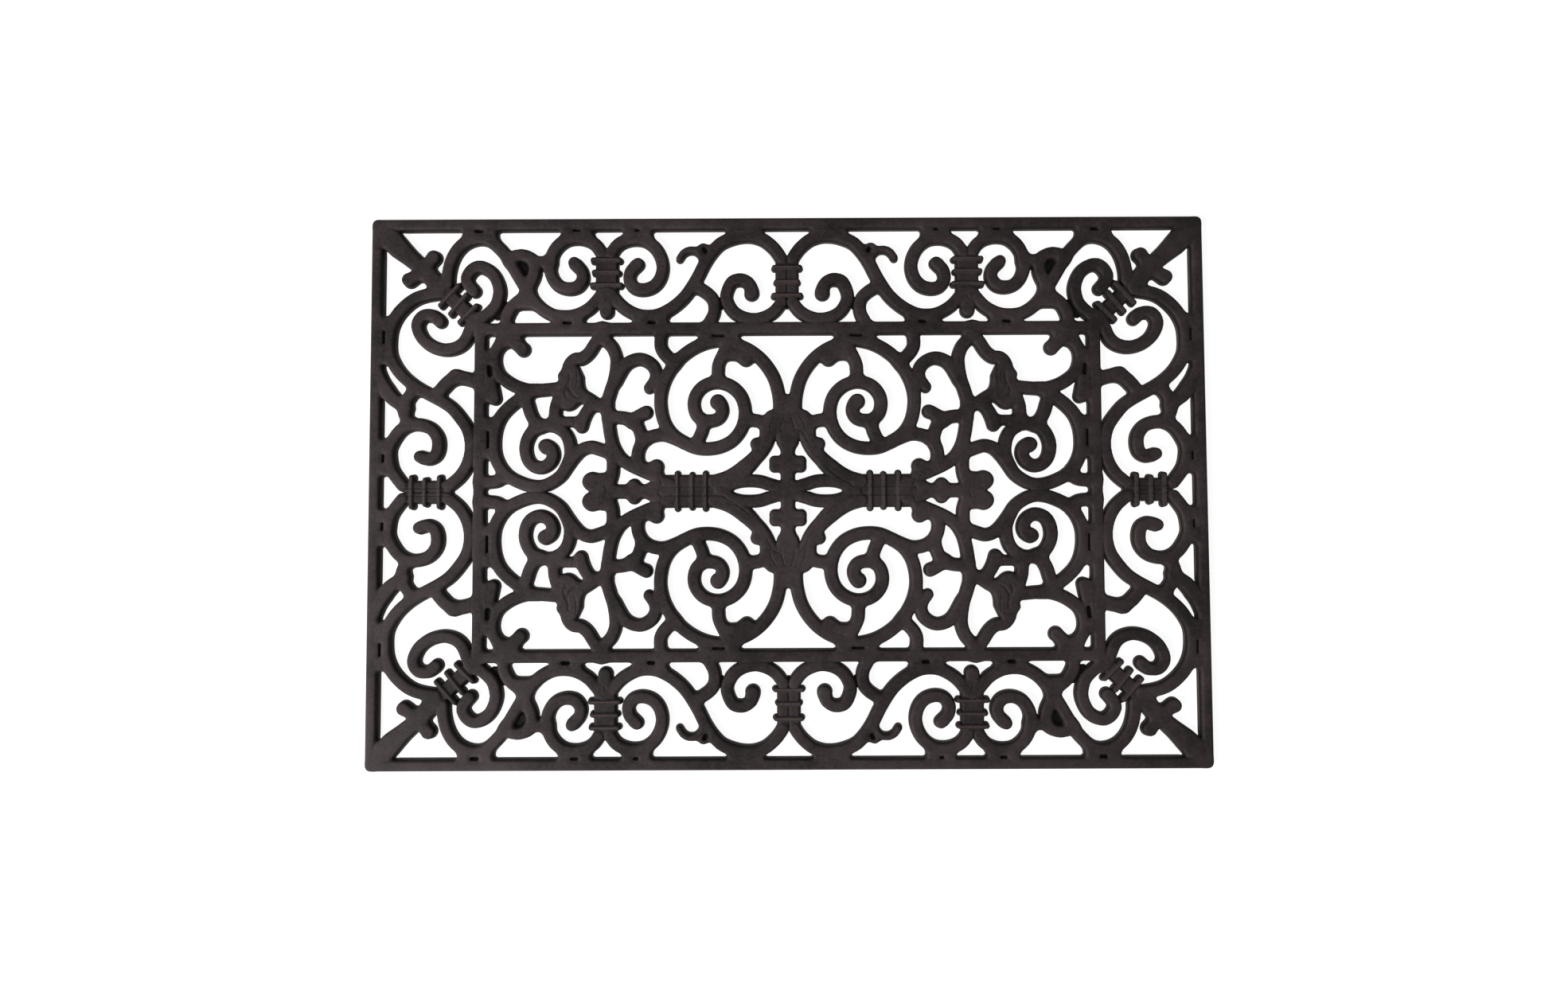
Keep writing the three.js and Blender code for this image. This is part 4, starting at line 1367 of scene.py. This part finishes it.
def linear(hex_colour: str) -> tuple[float, float, float, float]:
    """Turns an sRGB hex colour into Blender's linear colour.

    Args:
        hex_colour: the colour, such as "#2a2624".

    Returns:
        Red, green, blue and an opacity of 1.
    """
    parts = [int(hex_colour[at:at + 2], 16) / 255 for at in (1, 3, 5)]
    red, green, blue = (v / 12.92 if v <= 0.04045 else ((v + 0.055) / 1.055) ** 2.4 for v in parts)
    return red, green, blue, 1.0


def add_node(
    tree: Tree, kind: str, settings: dict[str, object], inputs: dict[str | int, object]
) -> bpy.types.Node:
    """Adds a node with its settings, its sockets' values and its links.

    Args:
        tree: the node tree.
        kind: the node's type, without the prefix that all shader nodes have.
        settings: the node's own settings, by name.
        inputs: for each input, a value or the output socket that it is linked to.

    Returns:
        The node.
    """
    node = tree.nodes.new("ShaderNode" + kind)
    for name, value in settings.items():
        setattr(node, name, value)
    for name, value in inputs.items():
        if isinstance(value, Socket):
            tree.links.new(value, node.inputs[name])
        else:
            node.inputs[name].default_value = value
    return node


def seen_in(tree: Tree) -> Socket:
    """A value of 1 for rays of the camera and of reflections, and 0 for rays that light the mat.

    Args:
        tree: the node tree.

    Returns:
        The value's output socket.
    """
    path = add_node(tree, "LightPath", {}, {}).outputs
    seen = path["Is Camera Ray"]
    for kind in ("Is Glossy Ray", "Is Transmission Ray"):
        seen = add_node(tree, "Math", {"operation": "MAXIMUM"}, {0: seen, 1: path[kind]}).outputs[0]
    return seen


def fresh_material(name: str) -> bpy.types.Material:
    """A new material with an empty node tree.

    Args:
        name: the material's name.

    Returns:
        The material.
    """
    material = bpy.data.materials.new(name)
    material.use_nodes = True
    material.node_tree.nodes.clear()
    return material


@dataclass(frozen=True)
class MouldedRubber:
    """Black-brown recycled rubber, pressed in a mould.

    The mould gives the tops a dull, finely grained skin. Dust and wear make it a little paler and
    browner in patches. The walls, shoulders and pits are darkened to nearly black by painted shade,
    and the walls' feet and the sole are made paler and browner by painted bounce light from the
    white ground. The crests of the rings, which stand proudest, are rubbed browner.
    """

    name: str = "moulded_rubber_black_brown"
    top: str = "#1f1b1b"
    # The near-black of painted shade on the low walls, shoulders, pits and slots
    painted_shade: str = "#060404"
    worn: str = "#3c3434"
    # The paler brown of painted bounce light from the white ground on the walls' feet and the sole
    foot: str = "#463c37"
    rubbed: str = "#554a40"
    # The heights over which the painted bounce light fades out, going up
    painted_bounce_range: Numbers = (2.6 * MM, 4.2 * MM)
    # The heights over which the painted shade fades into the colour of the tops
    painted_shade_range: Numbers = (4.5 * MM, 9.3 * MM)
    crest_range: Numbers = (9.92 * MM, 10.0 * MM)
    wear_range: Numbers = (0.75, 1.2)
    mottle_range: Numbers = (0.3, 0.7)
    mottle_share: float = 0.6
    dust_share: float = 0.35
    ior: float = 1.52
    roughness: float = 0.62
    roughness_swing: float = 0.06
    gloss: float = 0.07
    grain_depth: float = 0.12 * MM
    grain_strength: float = 0.25
    # Each noise's size in metres, and how many finer layers it has
    grain: Numbers = (1.1 * MM, 3.0)
    dust: Numbers = (3.5 * MM, 3.0)
    mottle: Numbers = (14.0 * MM, 4.0)
    cloud: Numbers = (120.0 * MM, 2.0)
    noise_roughness: float = 0.55

    def material(self) -> bpy.types.Material:
        """The finish's material, made once.

        Returns:
            The material.
        """
        made = bpy.data.materials.get(self.name)
        if made:
            return made
        material = fresh_material(self.name)
        tree = material.node_tree
        place = add_node(tree, "TexCoord", {}, {}).outputs["Object"]
        height = add_node(tree, "SeparateXYZ", {}, {0: place}).outputs["Z"]
        grain, dust, mottle, cloud = (
            add_node(tree, "TexNoise", {}, {
                "Vector": place, "Scale": 1 / size, "Detail": layers,
                "Roughness": self.noise_roughness,
            }).outputs[0]
            for size, layers in (self.grain, self.dust, self.mottle, self.cloud)
        )
        wear = cloud
        for noise, share in ((mottle, self.mottle_share), (dust, self.dust_share)):
            wear = add_node(tree, "Math", {"operation": "MULTIPLY_ADD"}, {
                0: noise, 1: share, 2: wear,
            }).outputs[0]
        swing = self.roughness - self.roughness_swing, self.roughness + self.roughness_swing
        # Of these shares, the second carries painted shade and the third painted bounce light
        wear, painted_shade_fade, foot, crest, rough = (
            add_node(tree, "MapRange", {"interpolation_type": kind}, {
                "Value": value, "From Min": span[0], "From Max": span[1],
                "To Min": ends[0], "To Max": ends[1],
            }).outputs["Result"]
            for value, span, ends, kind in (
                (wear, self.wear_range, (0.0, 1.0), "LINEAR"),
                # Painted shade: full at the lowest heights, gone at the tops
                (height, self.painted_shade_range, (0.0, 1.0), "SMOOTHSTEP"),
                # Painted bounce light: full at the floor, gone above the walls' feet
                (height, self.painted_bounce_range, (1.0, 0.0), "LINEAR"),
                (height, self.crest_range, (0.0, 1.0), "LINEAR"),
                (mottle, self.mottle_range, swing, "LINEAR"),
            )
        )
        # Each step goes by a share from one colour to another, where None is the colour so far
        colour = linear(self.top)
        for share, first, last in (
            (wear, None, linear(self.worn)),
            # Painted shade darkens the low parts towards near-black
            (painted_shade_fade, linear(self.painted_shade), None),
            # Painted bounce light makes the walls' feet and the sole paler and browner
            (foot, None, linear(self.foot)),
            (crest, None, linear(self.rubbed)),
        ):
            colour = add_node(tree, "Mix", {"data_type": "RGBA"}, {
                SHARE: share, FIRST: first or colour, LAST: last or colour,
            }).outputs[MIXED]
        bump = add_node(tree, "Bump", {}, {
            "Strength": self.grain_strength, "Distance": self.grain_depth, "Height": grain,
        }).outputs["Normal"]
        shader = add_node(tree, "BsdfPrincipled", {}, {
            "Base Color": colour, "Roughness": rough, "Normal": bump, "IOR": self.ior,
            "Specular IOR Level": self.gloss,
        }).outputs[0]
        add_node(tree, "OutputMaterial", {}, {"Surface": shader})
        return material


@dataclass(frozen=True)
class WhitePaper:
    """The plain white ground: white to the camera, with the mat's own shadow on it."""

    name: str = "white_paper_ground"
    seen: str = "#7c7c7c"
    lit: str = "#e7e7e7"
    glow: float = 0.92

    def material(self) -> bpy.types.Material:
        """The material: to the camera a glow and a shaded part, to other rays plain paper.

        Returns:
            The material.
        """
        material = fresh_material(self.name)
        tree = material.node_tree
        seen = seen_in(tree)
        paper = add_node(tree, "Mix", {"data_type": "RGBA"}, {
            SHARE: seen, FIRST: linear(self.lit), LAST: linear(self.seen),
        }).outputs[MIXED]
        glow = add_node(tree, "Math", {"operation": "MULTIPLY"}, {0: seen, 1: self.glow}).outputs[0]
        shaded = add_node(tree, "BsdfDiffuse", {}, {"Color": paper}).outputs[0]
        light = add_node(tree, "Emission", {}, {"Strength": glow}).outputs[0]
        both = add_node(tree, "AddShader", {}, {0: shaded, 1: light}).outputs[0]
        add_node(tree, "OutputMaterial", {}, {"Surface": both})
        return material


@dataclass(frozen=True)
class SoftLamp:
    """A square soft lamp, aimed at the mat's middle."""

    name: str
    place: Numbers
    size: float
    power: float

    def hang(self) -> None:
        """Adds the lamp to the scene."""
        data = bpy.data.lights.new(self.name, "AREA")
        data.shape = "SQUARE"
        data.size, data.energy = self.size, self.power
        lamp = add_object(data)
        lamp.location = self.place
        lamp.rotation_euler = (-Vector(self.place)).to_track_quat("-Z", "Y").to_euler()


@dataclass
class Studio:
    """The ground, the light and the camera."""

    ground_size: float = 6.0
    ground_gap: float = 0.3 * MM
    sky: float = 0.09
    lamps: tuple[SoftLamp, ...] = (
        SoftLamp("left_lamp", place=(-1.9, -1.0, 1.4), size=1.6, power=108.0),
        SoftLamp("top_lamp", place=(-0.3, -0.5, 2.4), size=1.6, power=7.0),
    )
    camera_place: Numbers = (-0.0042, -0.0357, 0.8946)
    camera_turn: Numbers = (0.0367, 0.0004, -0.0042)
    lens: float = 18.715
    sensor: float = 36.0

    def ground(self) -> None:
        """Lays a flat square just under the mat, so that the mat's sole doesn't flicker in it."""
        half = self.ground_size / 2
        mesh = bpy.data.meshes.new("ground")
        signs = ((-1, -1), (1, -1), (1, 1), (-1, 1))
        mesh.from_pydata([(half * x, half * y, -self.ground_gap) for x, y in signs], [], [range(4)])
        mesh.materials.append(WhitePaper().material())
        ground = add_object(mesh)

    def world(self) -> None:
        """Makes a plain sky: white to the camera and in reflections, and soft light on the mat."""
        world = bpy.data.worlds.new("plain_sky")
        bpy.context.scene.world = world
        world.use_nodes = True
        tree = world.node_tree
        tree.nodes.clear()
        strength = add_node(tree, "MapRange", {}, {
            "Value": seen_in(tree), "To Min": self.sky, "To Max": 1.0,
        }).outputs["Result"]
        sky = add_node(tree, "Background", {}, {
            "Color": linear("#ffffff"), "Strength": strength,
        }).outputs[0]
        add_node(tree, "OutputWorld", {}, {"Surface": sky})

    def camera(self) -> None:
        """Puts the camera straight above the mat."""
        data = bpy.data.cameras.new("camera")
        data.lens, data.sensor_width = self.lens, self.sensor
        camera = add_object(data)
        camera.location, camera.rotation_euler = self.camera_place, self.camera_turn
        bpy.context.scene.camera = camera

    def build(self) -> None:
        """Sets up the whole studio."""
        self.ground()
        self.world()
        for lamp in self.lamps:
            lamp.hang()
        self.camera()
        bpy.context.scene.view_settings.view_transform = "Standard"


def main() -> None:
    """Builds the mat around its frame, piece by piece."""
    logging.basicConfig(level=logging.INFO, format="%(name)s: %(message)s")
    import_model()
    relief = Relief(MEMBERS)
    LOG.info("relief: %d by %d points", *relief.labels.shape)
    rubber = MouldedRubber()
    for member in MEMBERS:
        member.build(relief, rubber)
    Studio().build()


if __name__ == "__main__":
    main()
